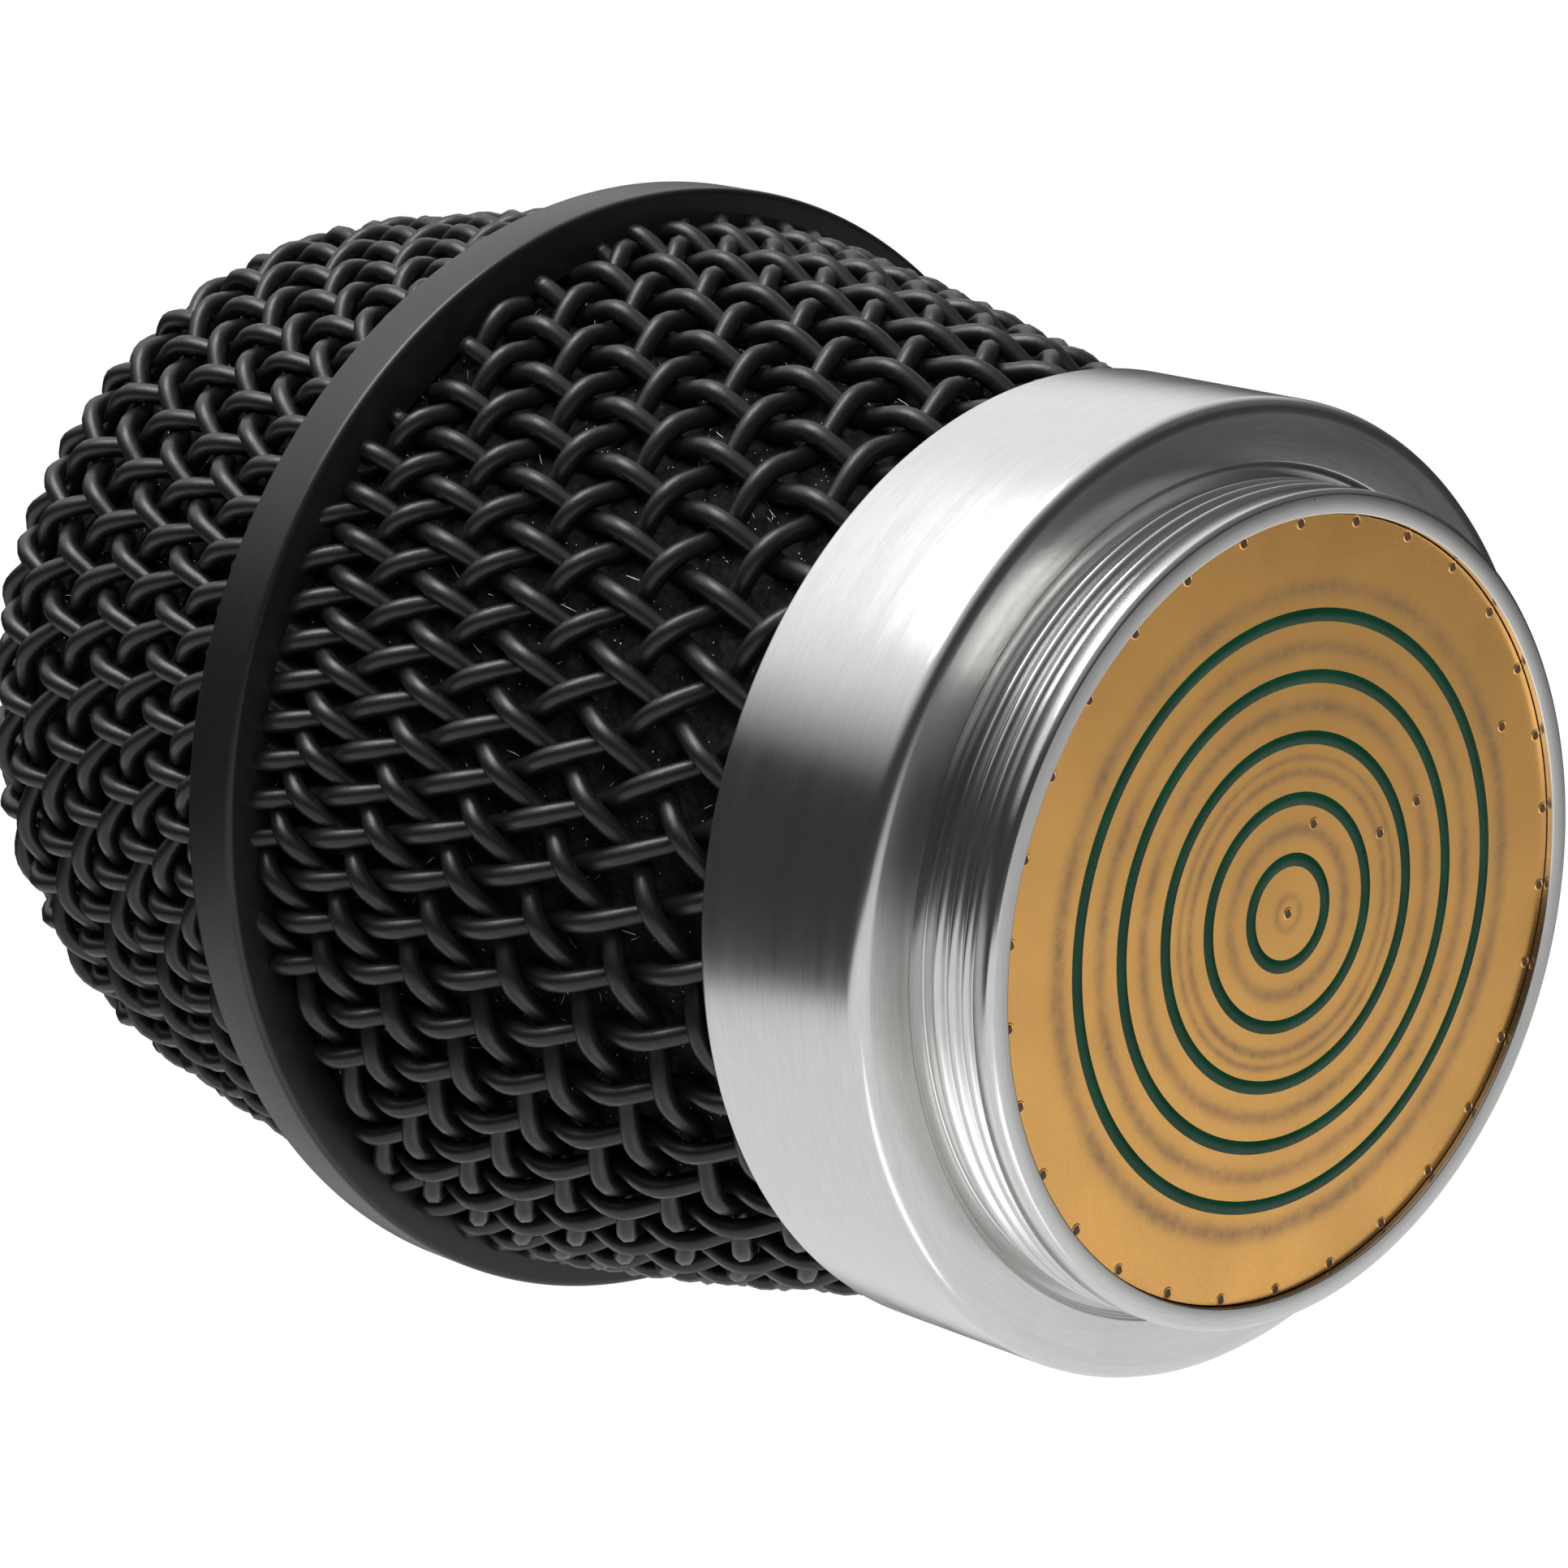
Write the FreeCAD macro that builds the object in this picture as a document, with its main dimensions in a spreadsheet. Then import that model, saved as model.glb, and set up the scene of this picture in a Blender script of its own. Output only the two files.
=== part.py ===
"""Condenser microphone capsule head, standing on its threaded nose, dome up.

The origin is the centre of the nose's end face and +Z runs along the axis to the dome.
All sizes are in millimetres.
"""
import FreeCAD, Part
import math
import operator
import os
import Sketcher

V = FreeCAD.Vector
os.makedirs("parts", exist_ok=True)
doc = FreeCAD.newDocument("CapsuleHead")
sheet = doc.addObject("Spreadsheet::Sheet", "Sizes")

# Driving dimensions: alias, value, meaning
DIMENSIONS = [
    ("BoardRecess", 0.3, "gold face behind the nose's end face"),
    ("GoldThickness", 0.1, "gold contact on the laminate"),
    ("BoardThickness", 1.6, "laminate"),
    ("BoardRadius", 14.65, "laminate and outer gold area"),
    ("BoardClearance", 0.05, "between the laminate and the nose's bore"),
    ("RingPitch", 2.25, "from one green ring to the next"),
    ("FirstRingRadius", 2.0, "middle of the innermost green ring"),
    ("RingGap", 0.36, "width of a green ring"),
    ("NoseWall", 0.9, "bore to the thread crests and nose lip"),
    ("NoseChamfer", 0.2, "outer edge of the nose's end face"),
    ("ThreadLength", 3.0, "end face to the undercut"),
    ("UndercutDepth", 0.4, "undercut behind the thread, below its crests"),
    ("ReliefWidth", 0.3, "relief in the shoulder, beyond the thread crests"),
    ("ReliefDepth", 0.2, "relief in the shoulder"),
    ("ShoulderHeight", 3.5, "drum's shoulder above the end face"),
    ("ShoulderWidth", 2.8, "thread crests to the brushed drum"),
    ("DrumEdge", 0.5, "bevel of the drum's front edge"),
    ("DrumTop", 11.8, "back rim of the drum"),
    ("StepWidth", 1.25, "collar's step behind the board's rim"),
    ("LedgeHeight", 8.2, "ledge that carries the carrier and the rear grille"),
    ("WireDiameter", 0.72, "coated wire of the baskets"),
    ("RibWidth", 1.1, "ridge of the baskets"),
    ("DrumLip", 0.9, "drum beyond the rear grille's outside"),
    ("RearTopInset", 0.5, "rear grille's outside at the band, within the front grille's"),
    ("RearBulge", 0.35, "bow of the rear grille's side"),
    ("GrilleClearance", 0.1, "round a basket's rim in its socket"),
    ("BandBottom", 33.7, "band's lower edge above the end face"),
    ("BandWidth", 2.6, "band along the axis"),
    ("BandProud", 0.8, "band's flat outer face beyond the front grille"),
    ("DomeFootRadius", 21.9, "front grille's outside at the band"),
    ("DomeShoulderRadius", 9.0, "rounded shoulder of the front grille"),
    ("DomeShoulderInset", 11.3, "centre of that shoulder within the front grille's rim"),
    ("DomeShoulderDrop", 12.48, "centre of that shoulder below the apex"),
    ("DomeHeight", 63.5, "apex above the end face"),
    ("DomeTip", 1.0, "flat at the apex"),
    ("FoamThickness", 1.8, "liner behind the wires"),
    ("FoamClearance", 0.25, "between the liner and its neighbours"),
    ("FlangeThickness", 1.6, "carrier's flange"),
    ("StemRadius", 5.4, "outside of the carrier's stem"),
    ("StemWall", 1.2, "carrier's stem and cup"),
    ("StemSlotWidth", 3.0, "sound slot in the stem"),
    ("StemSlotLength", 14.0, "sound slot in the stem"),
    ("CupFloor", 34.6, "underside of the carrier's cup"),
    ("CupDepth", 4.4, "inside of the carrier's cup"),
    ("MountWall", 1.5, "rubber shock mount round the capsule"),
    ("MountFloor", 1.2, "rubber shock mount under the capsule"),
    ("MountOpening", 5.0, "hole in the shock mount's floor"),
    ("CapsuleRadius", 8.0, "outside of the capsule housing"),
    ("CapsuleWall", 0.6, "wall and base of the capsule housing"),
    ("CapsuleClearance", 0.05, "round a piece in its seat"),
    ("InsulatorThickness", 2.2, "insulator under the backplate"),
    ("InsulatorBore", 4.6, "chamber in the insulator"),
    ("BackplateThickness", 1.4, "backplate"),
    ("SpacerThickness", 0.15, "spacer ring"),
    ("RingWidth", 1.2, "spacer and tension rings across"),
    ("DiaphragmThickness", 0.1, "diaphragm with its plating"),
    ("TensionRingHeight", 1.3, "ring that tensions the diaphragm"),
    ("GridThickness", 0.6, "perforated front grid"),
    ("GridHole", 0.9, "hole in the front grid"),
    ("PlateHole", 0.5, "hole in the backplate"),
    ("GridCircle", 4.4, "holes of the front grid off the axis"),
    ("TerminalHole", 1.4, "hole for the signal lead in the housing's base"),
    ("LeadRadius", 0.35, "bare wire lead"),
    ("GroundOffset", 3.2, "ground lead off the axis"),
    ("PreampLength", 21.0, "preamplifier board"),
    ("PreampWidth", 15.0, "preamplifier board"),
    ("PreampThickness", 1.2, "preamplifier board"),
    ("HeaderWidth", 2.4, "pin header across"),
    ("HeaderOffset", 5.6, "pin header off the axis"),
    ("PinPitch", 2.0, "from one header pin to the next"),
    ("PinWidth", 0.5, "side of a square header pin"),
    ("TransistorLength", 3.0, "transistor"),
    ("TransistorHeight", 1.1, "transistor"),
    ("CapacitorLength", 7.2, "film capacitor"),
    ("CapacitorWidth", 2.5, "film capacitor"),
    ("CapacitorHeight", 3.4, "film capacitor, hung under the board"),
    ("ResistorLength", 3.2, "chip resistor"),
    ("ResistorWidth", 1.6, "chip resistor"),
    ("ResistorHeight", 0.6, "chip resistor"),
    ("PartSpacing", 4.4, "components off the board's middle"),
    ("ScrewRadius", 0.5, "shank of a carrier screw"),
    ("ScrewHead", 0.8, "head of a carrier screw"),
    ("ScrewHeadHeight", 0.6, "head of a carrier screw"),
    ("ScrewDepth", 2.6, "shank in the ledge"),
]
SIDES = 22
REAR_LOWER_ROWS = 2
REAR_UPPER_ROWS = 3
DOME_ROWS = 3
SHOULDER_ROWS = 1
SHOULDER_BANDS = 2
CROWN_BANDS = 2
CONTACT_RINGS = 5
SCREW_COUNT = 3
PIN_COUNT = 6
GRID_HOLES = 6
STEM_SLOTS = 4
FULL_TURN = 360.0

for row, (alias, value, meaning) in enumerate(DIMENSIONS, start=1):
    sheet.set("A%d" % row, alias)
    sheet.set("B%d" % row, str(value))
    sheet.set("C%d" % row, meaning)
    sheet.setAlias("B%d" % row, alias)
doc.recompute()


class Length:
    """A number together with the expression that gives it from the sheet."""

    SIGNS = {"+": operator.add, "-": operator.sub, "*": operator.mul, "/": operator.truediv}

    def __init__(self, value, text):
        self.value = float(value)
        self.text = text

    @classmethod
    def of(cls, thing):
        """Take a plain number as a length of its own."""
        return thing if isinstance(thing, cls) else cls(thing, repr(float(thing)))

    def joined(self, sign, other):
        """Combine two lengths and their expressions."""
        other = Length.of(other)
        value = Length.SIGNS[sign](self.value, other.value)
        return Length(value, "(%s %s %s)" % (self.text, sign, other.text))

    def __add__(self, other):
        return self.joined("+", other)

    def __sub__(self, other):
        return self.joined("-", other)

    def __mul__(self, other):
        return self.joined("*", other)

    def __truediv__(self, other):
        return self.joined("/", other)

    def __neg__(self):
        return Length(-self.value, "(0 - %s)" % self.text)


def size(alias):
    """Return one cell of the sheet as a length."""
    return Length(getattr(sheet, alias), "Sizes." + alias)


def function_of(name, length, value):
    """Return one of the sheet's functions of a length."""
    return Length(value, "%s(%s)" % (name, length.text))


def cosine(degrees):
    """Cosine of an angle in degrees."""
    return function_of("cos", degrees, math.cos(math.radians(degrees.value)))


def sine(degrees):
    """Sine of an angle in degrees."""
    return function_of("sin", degrees, math.sin(math.radians(degrees.value)))


def root(length):
    """Square root of a length."""
    return function_of("sqrt", length, math.sqrt(length.value))


ZERO = Length(0.0, "0")
nodes = []

# Heights and radii that follow from the driving dimensions
gold_face = size("BoardRecess")
laminate_face = gold_face + size("GoldThickness")
laminate_back = laminate_face + size("BoardThickness")
nose_bore = size("BoardRadius") + size("BoardClearance")
nose_radius = nose_bore + size("NoseWall")
step_radius = size("BoardRadius") - size("StepWidth")
drum_radius = nose_radius + size("ShoulderWidth")
rear_foot_radius = drum_radius - size("DrumLip")
rear_top_radius = size("DomeFootRadius") - size("RearTopInset")
ledge = size("LedgeHeight")
preamp_low = ledge - size("PreampThickness")
flange_top = ledge + size("FlangeThickness")
band_top = size("BandBottom") + size("BandWidth")
band_middle = size("BandBottom") + size("BandWidth") / 2
basket = size("WireDiameter") * 2
stem_bore = size("StemRadius") - size("StemWall")
cup_floor = size("CupFloor") + size("StemWall")
cup_rim = cup_floor + size("CupDepth")
capsule_base = cup_floor + size("MountFloor")
mount_bore = size("CapsuleRadius") + size("CapsuleClearance")
mount_radius = mount_bore + size("MountWall")
cup_bore = mount_radius + size("CapsuleClearance")
housing_bore = size("CapsuleRadius") - size("CapsuleWall")
seat_radius = housing_bore - size("CapsuleClearance")
insulator_low = capsule_base + size("CapsuleWall")
backplate_low = insulator_low + size("InsulatorThickness")
backplate_top = backplate_low + size("BackplateThickness")
spacer_top = backplate_top + size("SpacerThickness")
diaphragm_top = spacer_top + size("DiaphragmThickness")
tension_top = diaphragm_top + size("TensionRingHeight")
housing_top = tension_top + size("GridThickness")
screw_end = ledge - size("ScrewDepth")


def plane(body, role):
    """Return one of a body's own origin planes or axes."""
    return next(item for item in body.Origin.OriginFeatures if item.Role == role)


def new_body(name):
    """Start a node made of sketches and features."""
    body = doc.addObject("PartDesign::Body", "Body_" + name)
    body.Label = name
    nodes.append(body)
    return body


def sketch_on(body, role, name):
    """Attach a new sketch to a body's own plane."""
    sketch = body.newObject("Sketcher::SketchObject", name)
    sketch.AttachmentSupport = (plane(body, role), [""])
    sketch.MapMode = "FlatFace"
    return sketch


def hold(sketch, holds):
    """Add the constraints of a sketch at once, then bind each that has an expression."""
    first = sketch.ConstraintCount
    sketch.addConstraint([constraint for constraint, _ in holds])
    for number, (_, text) in enumerate(holds):
        if text:
            sketch.setExpression("Constraints[%d]" % (first + number), text)


def point_holds(edge, end, x, y):
    """Constraints that hold one end of an edge at x and y from the sketch's origin."""
    holds = []
    for kind, axis, length in (("DistanceX", -2, x), ("DistanceY", -1, y)):
        if length.value == 0.0:
            holds.append((Sketcher.Constraint("PointOnObject", edge, end, axis), None))
        else:
            constraint = Sketcher.Constraint(kind, -1, 1, edge, end, length.value)
            holds.append((constraint, length.text))
    return holds


def draw(sketch, corners):
    """Draw one closed outline of straight edges and hold every corner by an expression."""
    first = sketch.GeometryCount
    count = len(corners)
    places = [V(x.value, y.value, 0) for x, y in corners]
    edges = [Part.LineSegment(places[n], places[(n + 1) % count]) for n in range(count)]
    sketch.addGeometry(edges, False)
    holds = []
    for number, (x, y) in enumerate(corners):
        following = first + (number + 1) % count
        holds.append((Sketcher.Constraint("Coincident", first + number, 2, following, 1), None))
        holds += point_holds(first + number, 1, x, y)
    hold(sketch, holds)


def draw_circle(sketch, x, y, radius):
    """Draw a circle held by expressions."""
    edge = sketch.addGeometry(Part.Circle(V(x.value, y.value, 0), V(0, 0, 1), radius.value), False)
    holds = point_holds(edge, 3, x, y)
    holds.append((Sketcher.Constraint("Radius", edge, radius.value), radius.text))
    hold(sketch, holds)


def rectangle(left, right, low, high):
    """Corners of a rectangle."""
    return [(left, low), (right, low), (right, high), (left, high)]


def turned(name, *outlines):
    """Make a node by turning closed outlines about the axis."""
    body = new_body(name)
    sketch = sketch_on(body, "XZ_Plane", name + "_outline")
    for corners in outlines:
        draw(sketch, corners)
    feature = body.newObject("PartDesign::Revolution", name + "_turn")
    feature.Profile = sketch
    feature.ReferenceAxis = (sketch, ["V_Axis"])
    feature.Angle = FULL_TURN
    return body


def set_length(feature, length):
    """Bind the length of a pad or pocket."""
    feature.Length = length.value
    feature.setExpression("Length", length.text)


def round_pattern(body, feature, count):
    """Repeat a feature about the body's own Z axis and show the result."""
    pattern = body.newObject("PartDesign::PolarPattern", feature.Name + "_round")
    pattern.Originals = [feature]
    pattern.Axis = (plane(body, "Z_Axis"), [""])
    pattern.Angle = FULL_TURN
    pattern.Occurrences = count
    body.Tip = pattern


def drill(body, name, x, radius, top, depth, count):
    """Drill holes down from a height, spaced evenly about the axis."""
    sketch = sketch_on(body, "XY_Plane", name + "_sketch")
    draw_circle(sketch, x, ZERO, radius)
    sketch.AttachmentOffset = FreeCAD.Placement(V(0, 0, top.value), FreeCAD.Rotation())
    sketch.setExpression("AttachmentOffset.Base.z", top.text)
    pocket = body.newObject("PartDesign::Pocket", name)
    pocket.Profile = sketch
    set_length(pocket, depth)
    if count > 1:
        round_pattern(body, pocket, count)


def place(item, x, y, z):
    """Bind an object's place."""
    for axis, length in (("x", x), ("y", y), ("z", z)):
        item.setExpression("Placement.Base." + axis, length.text)


def box(name, x, y, z, length, width, height):
    """Make a box with its low corner at x, y, z."""
    item = doc.addObject("Part::Box", name)
    for key, value in (("Length", length), ("Width", width), ("Height", height)):
        setattr(item, key, value.value)
        item.setExpression(key, value.text)
    place(item, x, y, z)
    return item


def cylinder(name, x, y, z, radius, height):
    """Make an upright cylinder with its low centre at x, y, z."""
    item = doc.addObject("Part::Cylinder", name)
    for key, value in (("Radius", radius), ("Height", height)):
        setattr(item, key, value.value)
        item.setExpression(key, value.text)
    place(item, x, y, z)
    return item


def as_node(item, name):
    """Hand an object in as a node."""
    item.Label = name
    nodes.append(item)
    return item


class Side:
    """A basket's side as flat bands between knots, each a distance off the axis and a height."""

    def __init__(self, knots):
        self.knots = knots

    def solid(self, name):
        """Make the closed solid inside this side, with one flat facet a band and a side."""
        turns = [number * math.tau / SIDES for number in range(SIDES)]
        rings = [[V(r.value * math.cos(a), r.value * math.sin(a), z.value) for a in turns]
                 for r, z in self.knots]
        outlines = [rings[0], rings[-1]]
        for low, high in zip(rings, rings[1:]):
            for number in range(SIDES):
                following = (number + 1) % SIDES
                outlines.append([low[number], low[following], high[following], high[number]])
        faces = [Part.Face(Part.makePolygon(outline + [outline[0]])) for outline in outlines]
        item = doc.addObject("Part::Feature", name)
        item.Shape = Part.Solid(Part.Shell(faces))
        return item


def rear_side(depth, low, high):
    """Bowed side of the rear grille at a depth inside the wire crests, between two heights."""
    rise = size("BandBottom") - size("DrumTop")
    share = Length.of(REAR_LOWER_ROWS / (REAR_LOWER_ROWS + REAR_UPPER_ROWS))
    knee = size("DrumTop") + rise * share
    knee_radius = rear_foot_radius + (rear_top_radius - rear_foot_radius) * share + size("RearBulge")
    upper = (rear_top_radius - knee_radius) / (size("BandBottom") - knee)
    knots = [
        (rear_foot_radius - depth, size("DrumTop")),
        (knee_radius - depth, knee),
        (rear_top_radius + upper * (high - size("BandBottom")) - depth, high),
    ]
    if low.value < size("DrumTop").value:
        knots.insert(0, (rear_foot_radius - depth, low))
    return Side(knots)


def leaning(first, second, share):
    """Unit direction that lies a share of the way from one direction to another."""
    across = first[0] * (1 - share) + second[0] * share
    up = first[1] * (1 - share) + second[1] * share
    reach = root(across * across + up * up)
    return across / reach, up / reach


class Dome:
    """Taper, shoulder and crown of the front grille."""

    def __init__(self):
        inset = size("DomeShoulderInset")
        self.shoulder = size("DomeShoulderRadius")
        self.place = size("DomeFootRadius") - inset
        self.shoulder_height = size("DomeHeight") - size("DomeShoulderDrop")
        rise = self.shoulder_height - band_top
        square = inset * inset + rise * rise
        tangent = root(square - self.shoulder * self.shoulder)
        self.wall_lean = ((inset * self.shoulder + rise * tangent) / square,
                          (inset * tangent - rise * self.shoulder) / square)
        top = size("DomeHeight") - self.shoulder
        square = self.place * self.place + self.shoulder_height * self.shoulder_height - top * top
        self.crown_height = square / ((self.shoulder_height - top) * 2)
        self.crown = size("DomeHeight") - self.crown_height

    def side(self, depth, low):
        """Knots of the side at a depth inside the wire crests, from a height up to the tip."""
        level, climb = self.wall_lean
        knots = [(size("DomeFootRadius") + climb / level * (band_top - low) - depth / level, low)]
        joint_lean = leaning((self.place, self.shoulder_height - self.crown_height),
                             (ZERO, ZERO), 0)
        for band in range(SHOULDER_BANDS + 1):
            across, up = leaning(self.wall_lean, joint_lean, band / SHOULDER_BANDS)
            radius = self.shoulder - depth
            knots.append((self.place + radius * across, self.shoulder_height + radius * up))
        for band in range(1, CROWN_BANDS):
            across, up = leaning(joint_lean, (ZERO, Length.of(1)), band / CROWN_BANDS)
            radius = self.crown - depth
            knots.append((radius * across, self.crown_height + radius * up))
        knots.append((size("DomeTip"), size("DomeHeight") - depth))
        return Side(knots)


def ridges(name, side):
    """Ridges of outer wires, one at each corner of a basket, as separate solids."""
    half = size("RibWidth").value / 2
    outer = [V(r.value, -half, z.value) for r, z in side.knots]
    deep = size("WireDiameter").value * 1.5
    inner = [V(p.x - deep, p.y, p.z) for p in reversed(outer)]
    face = Part.Face(Part.makePolygon(outer + inner + [outer[0]]))
    ridge = face.extrude(V(0, 2 * half, 0))
    copies = []
    for number in range(SIDES):
        copy = ridge.copy()
        copy.rotate(V(0, 0, 0), V(0, 0, 1), number * FULL_TURN / SIDES)
        copies.append(copy)
    item = doc.addObject("Part::Feature", name)
    item.Shape = Part.makeCompound(copies)
    return item


def gaps(name, side, rows):
    """Cutters for the gaps, with a number of rows in each band of a side."""
    rib = size("RibWidth").value
    deep = size("WireDiameter").value * 3
    cutters = []
    for (start, end), count in zip(zip(side.knots, side.knots[1:]), rows):
        low, high = V(start[0].value, 0, start[1].value), V(end[0].value, 0, end[1].value)
        along = (high - low).normalize()
        lean = math.degrees(math.atan2(low.x - high.x, high.z - low.z))
        pitch = (high - low).Length / count
        for row in range(count):
            foot = low + along * (row * pitch + rib / 2)
            narrow = min(foot.x, (foot + along * (pitch - rib)).x)
            width = 2 * narrow * math.sin(math.pi / SIDES) - rib
            cutter = Part.makeBox(2 * deep, width, pitch - rib, V(-deep, -width / 2, 0))
            cutter.rotate(V(0, 0, 0), V(0, 1, 0), -lean)
            cutter.translate(V(foot.x * math.cos(math.pi / SIDES), 0, foot.z))
            for column in range(SIDES):
                copy = cutter.copy()
                copy.rotate(V(0, 0, 0), V(0, 0, 1), (column + 0.5) * FULL_TURN / SIDES)
                cutters.append(copy)
    item = doc.addObject("Part::Feature", name)
    item.Shape = Part.makeCompound(cutters)
    return item


def join(kind, name, first, second):
    """Join two objects with a boolean operation."""
    item = doc.addObject(kind, name)
    item.Base = first
    item.Tool = second
    return item


def make_basket(name, wall_outer, wall_inner, crest, rows):
    """Woven basket: a wall of inner wires, ridges of outer wires, and the gaps between them."""
    shell = join("Part::Cut", name + "_wall", wall_outer.solid(name + "_outside"),
                 wall_inner.solid(name + "_inside"))
    doc.recompute()
    ribbed = join("Part::Fuse", name + "_ribbed", shell, ridges(name + "_ridges", crest))
    open_wall = join("Part::Cut", name + "_open", ribbed, gaps(name + "_gaps", crest, rows))
    as_node(open_wall, name)


def make_collar():
    """Turned collar: threaded nose, undercut, shoulder, drum, ledge and the steps inside."""
    chamfer = size("NoseChamfer")
    edge = size("DrumEdge")
    socket = rear_foot_radius + size("GrilleClearance")
    shoulder = size("ShoulderHeight")
    body = turned("collar", [
        (nose_bore, ZERO),
        (nose_radius - chamfer, ZERO),
        (nose_radius, chamfer),
        (nose_radius, size("ThreadLength")),
        (nose_radius - size("UndercutDepth"), shoulder + size("ReliefDepth")),
        (nose_radius + size("ReliefWidth"), shoulder + size("ReliefDepth")),
        (nose_radius + size("ReliefWidth"), shoulder),
        (drum_radius - edge, shoulder),
        (drum_radius, shoulder + edge),
        (drum_radius, size("DrumTop")),
        (socket, size("DrumTop")),
        (socket, ledge),
        (step_radius, ledge),
        (step_radius, laminate_back),
        (nose_bore, laminate_back),
    ])
    hole = size("ScrewRadius") + size("CapsuleClearance")
    drill(body, "collar_screw_hole", screw_circle(), hole, ledge, size("ScrewDepth"), SCREW_COUNT)


def make_board():
    """Laminate disc and its gold areas, from the centre contact outwards."""
    turned("contact_board", rectangle(ZERO, size("BoardRadius"), laminate_face, laminate_back))
    half_gap = size("RingGap") / 2
    first = size("FirstRingRadius")
    turned("centre_contact", rectangle(ZERO, first - half_gap, gold_face, laminate_face))
    for number in range(1, CONTACT_RINGS + 1):
        inner = first + size("RingPitch") * (number - 1) + half_gap
        outer = first + size("RingPitch") * number - half_gap
        if number == CONTACT_RINGS:
            outer = size("BoardRadius")
        turned("contact_ring_%d" % number, rectangle(inner, outer, gold_face, laminate_face))


def make_grilles():
    """Both baskets, the band round their rims and the foam liners behind them."""
    wall = size("WireDiameter")
    foot = ledge
    make_basket("rear_grille", rear_side(wall, foot, band_middle), rear_side(basket, foot, band_middle),
                rear_side(ZERO, size("DrumTop"), size("BandBottom")), (REAR_LOWER_ROWS, REAR_UPPER_ROWS))
    dome = Dome()
    rows = (DOME_ROWS,) + (SHOULDER_ROWS,) * SHOULDER_BANDS
    make_basket("front_grille", dome.side(wall, band_middle), dome.side(basket, band_middle),
                dome.side(ZERO, band_top), rows)
    band_radius = size("DomeFootRadius") + size("BandProud")
    rear_seat = rear_side(wall, size("DrumTop"), band_middle).knots[-1][0] + size("GrilleClearance")
    front_seat = dome.side(wall, band_middle).knots[0][0] + size("GrilleClearance")
    turned("grille_band", [
        (rear_seat, size("BandBottom")),
        (band_radius, size("BandBottom")),
        (band_radius, band_top),
        (front_seat, band_top),
        (front_seat, band_middle),
        (rear_seat, band_middle),
    ])
    gap = size("FoamClearance")
    liner = basket + gap
    thick = liner + size("FoamThickness")
    low = flange_top + size("ScrewHeadHeight") + gap
    outside = rear_side(liner, low, band_middle - gap / 2)
    inside = rear_side(thick, low, band_middle - gap / 2)
    as_node(join("Part::Cut", "rear_foam_liner", outside.solid("rear_foam_outside"),
                 inside.solid("rear_foam_inside")), "rear_foam")
    outside = dome.side(liner, band_middle + gap / 2)
    inside = dome.side(thick, band_middle + gap / 2)
    as_node(join("Part::Cut", "front_foam_liner", outside.solid("front_foam_outside"),
                 inside.solid("front_foam_inside")), "front_foam")


def flange_radius():
    """Carrier's flange, which fits inside the rear grille's flat sides on the ledge."""
    foot = rear_side(basket, ledge, band_middle).knots[0][0]
    return foot * math.cos(math.pi / SIDES) - size("GrilleClearance")


def screw_circle():
    """Distance of the carrier screws off the axis, the middle of the flange's seat."""
    return (step_radius + flange_radius()) / 2


def make_carrier():
    """Moulded carrier: flange on the collar's ledge, slotted stem and cup, and its screws."""
    body = turned("capsule_carrier", [
        (stem_bore, ledge),
        (flange_radius(), ledge),
        (flange_radius(), flange_top),
        (size("StemRadius"), flange_top),
        (size("StemRadius"), size("CupFloor")),
        (cup_bore + size("StemWall"), size("CupFloor")),
        (cup_bore + size("StemWall"), cup_rim),
        (cup_bore, cup_rim),
        (cup_bore, cup_floor),
        (stem_bore, cup_floor),
    ])
    sketch = sketch_on(body, "XZ_Plane", "stem_slot_sketch")
    half = size("StemSlotWidth") / 2
    middle = (flange_top + size("CupFloor")) / 2
    reach = size("StemSlotLength") / 2
    draw(sketch, rectangle(-half, half, middle - reach, middle + reach))
    slot = body.newObject("PartDesign::Pocket", "stem_slot")
    slot.Profile = sketch
    set_length(slot, size("StemRadius") * 2)
    round_pattern(body, slot, STEM_SLOTS)
    hole = size("ScrewRadius") + size("CapsuleClearance")
    drill(body, "flange_hole", screw_circle(), hole, flange_top, size("FlangeThickness"), SCREW_COUNT)
    shank = flange_top - screw_end
    screws = []
    for number in range(SCREW_COUNT):
        turn = Length.of(number * FULL_TURN / SCREW_COUNT)
        x, y = screw_circle() * cosine(turn), screw_circle() * sine(turn)
        low = cylinder("screw_shank_%d" % number, x, y, screw_end, size("ScrewRadius"), shank)
        top = cylinder("screw_head_%d" % number, x, y, flange_top, size("ScrewHead"), size("ScrewHeadHeight"))
        screws.append(join("Part::Fuse", "screw_%d" % number, low, top))
    group = doc.addObject("Part::Compound", "screw_group")
    group.Links = screws
    as_node(group, "carrier_screws")


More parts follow.
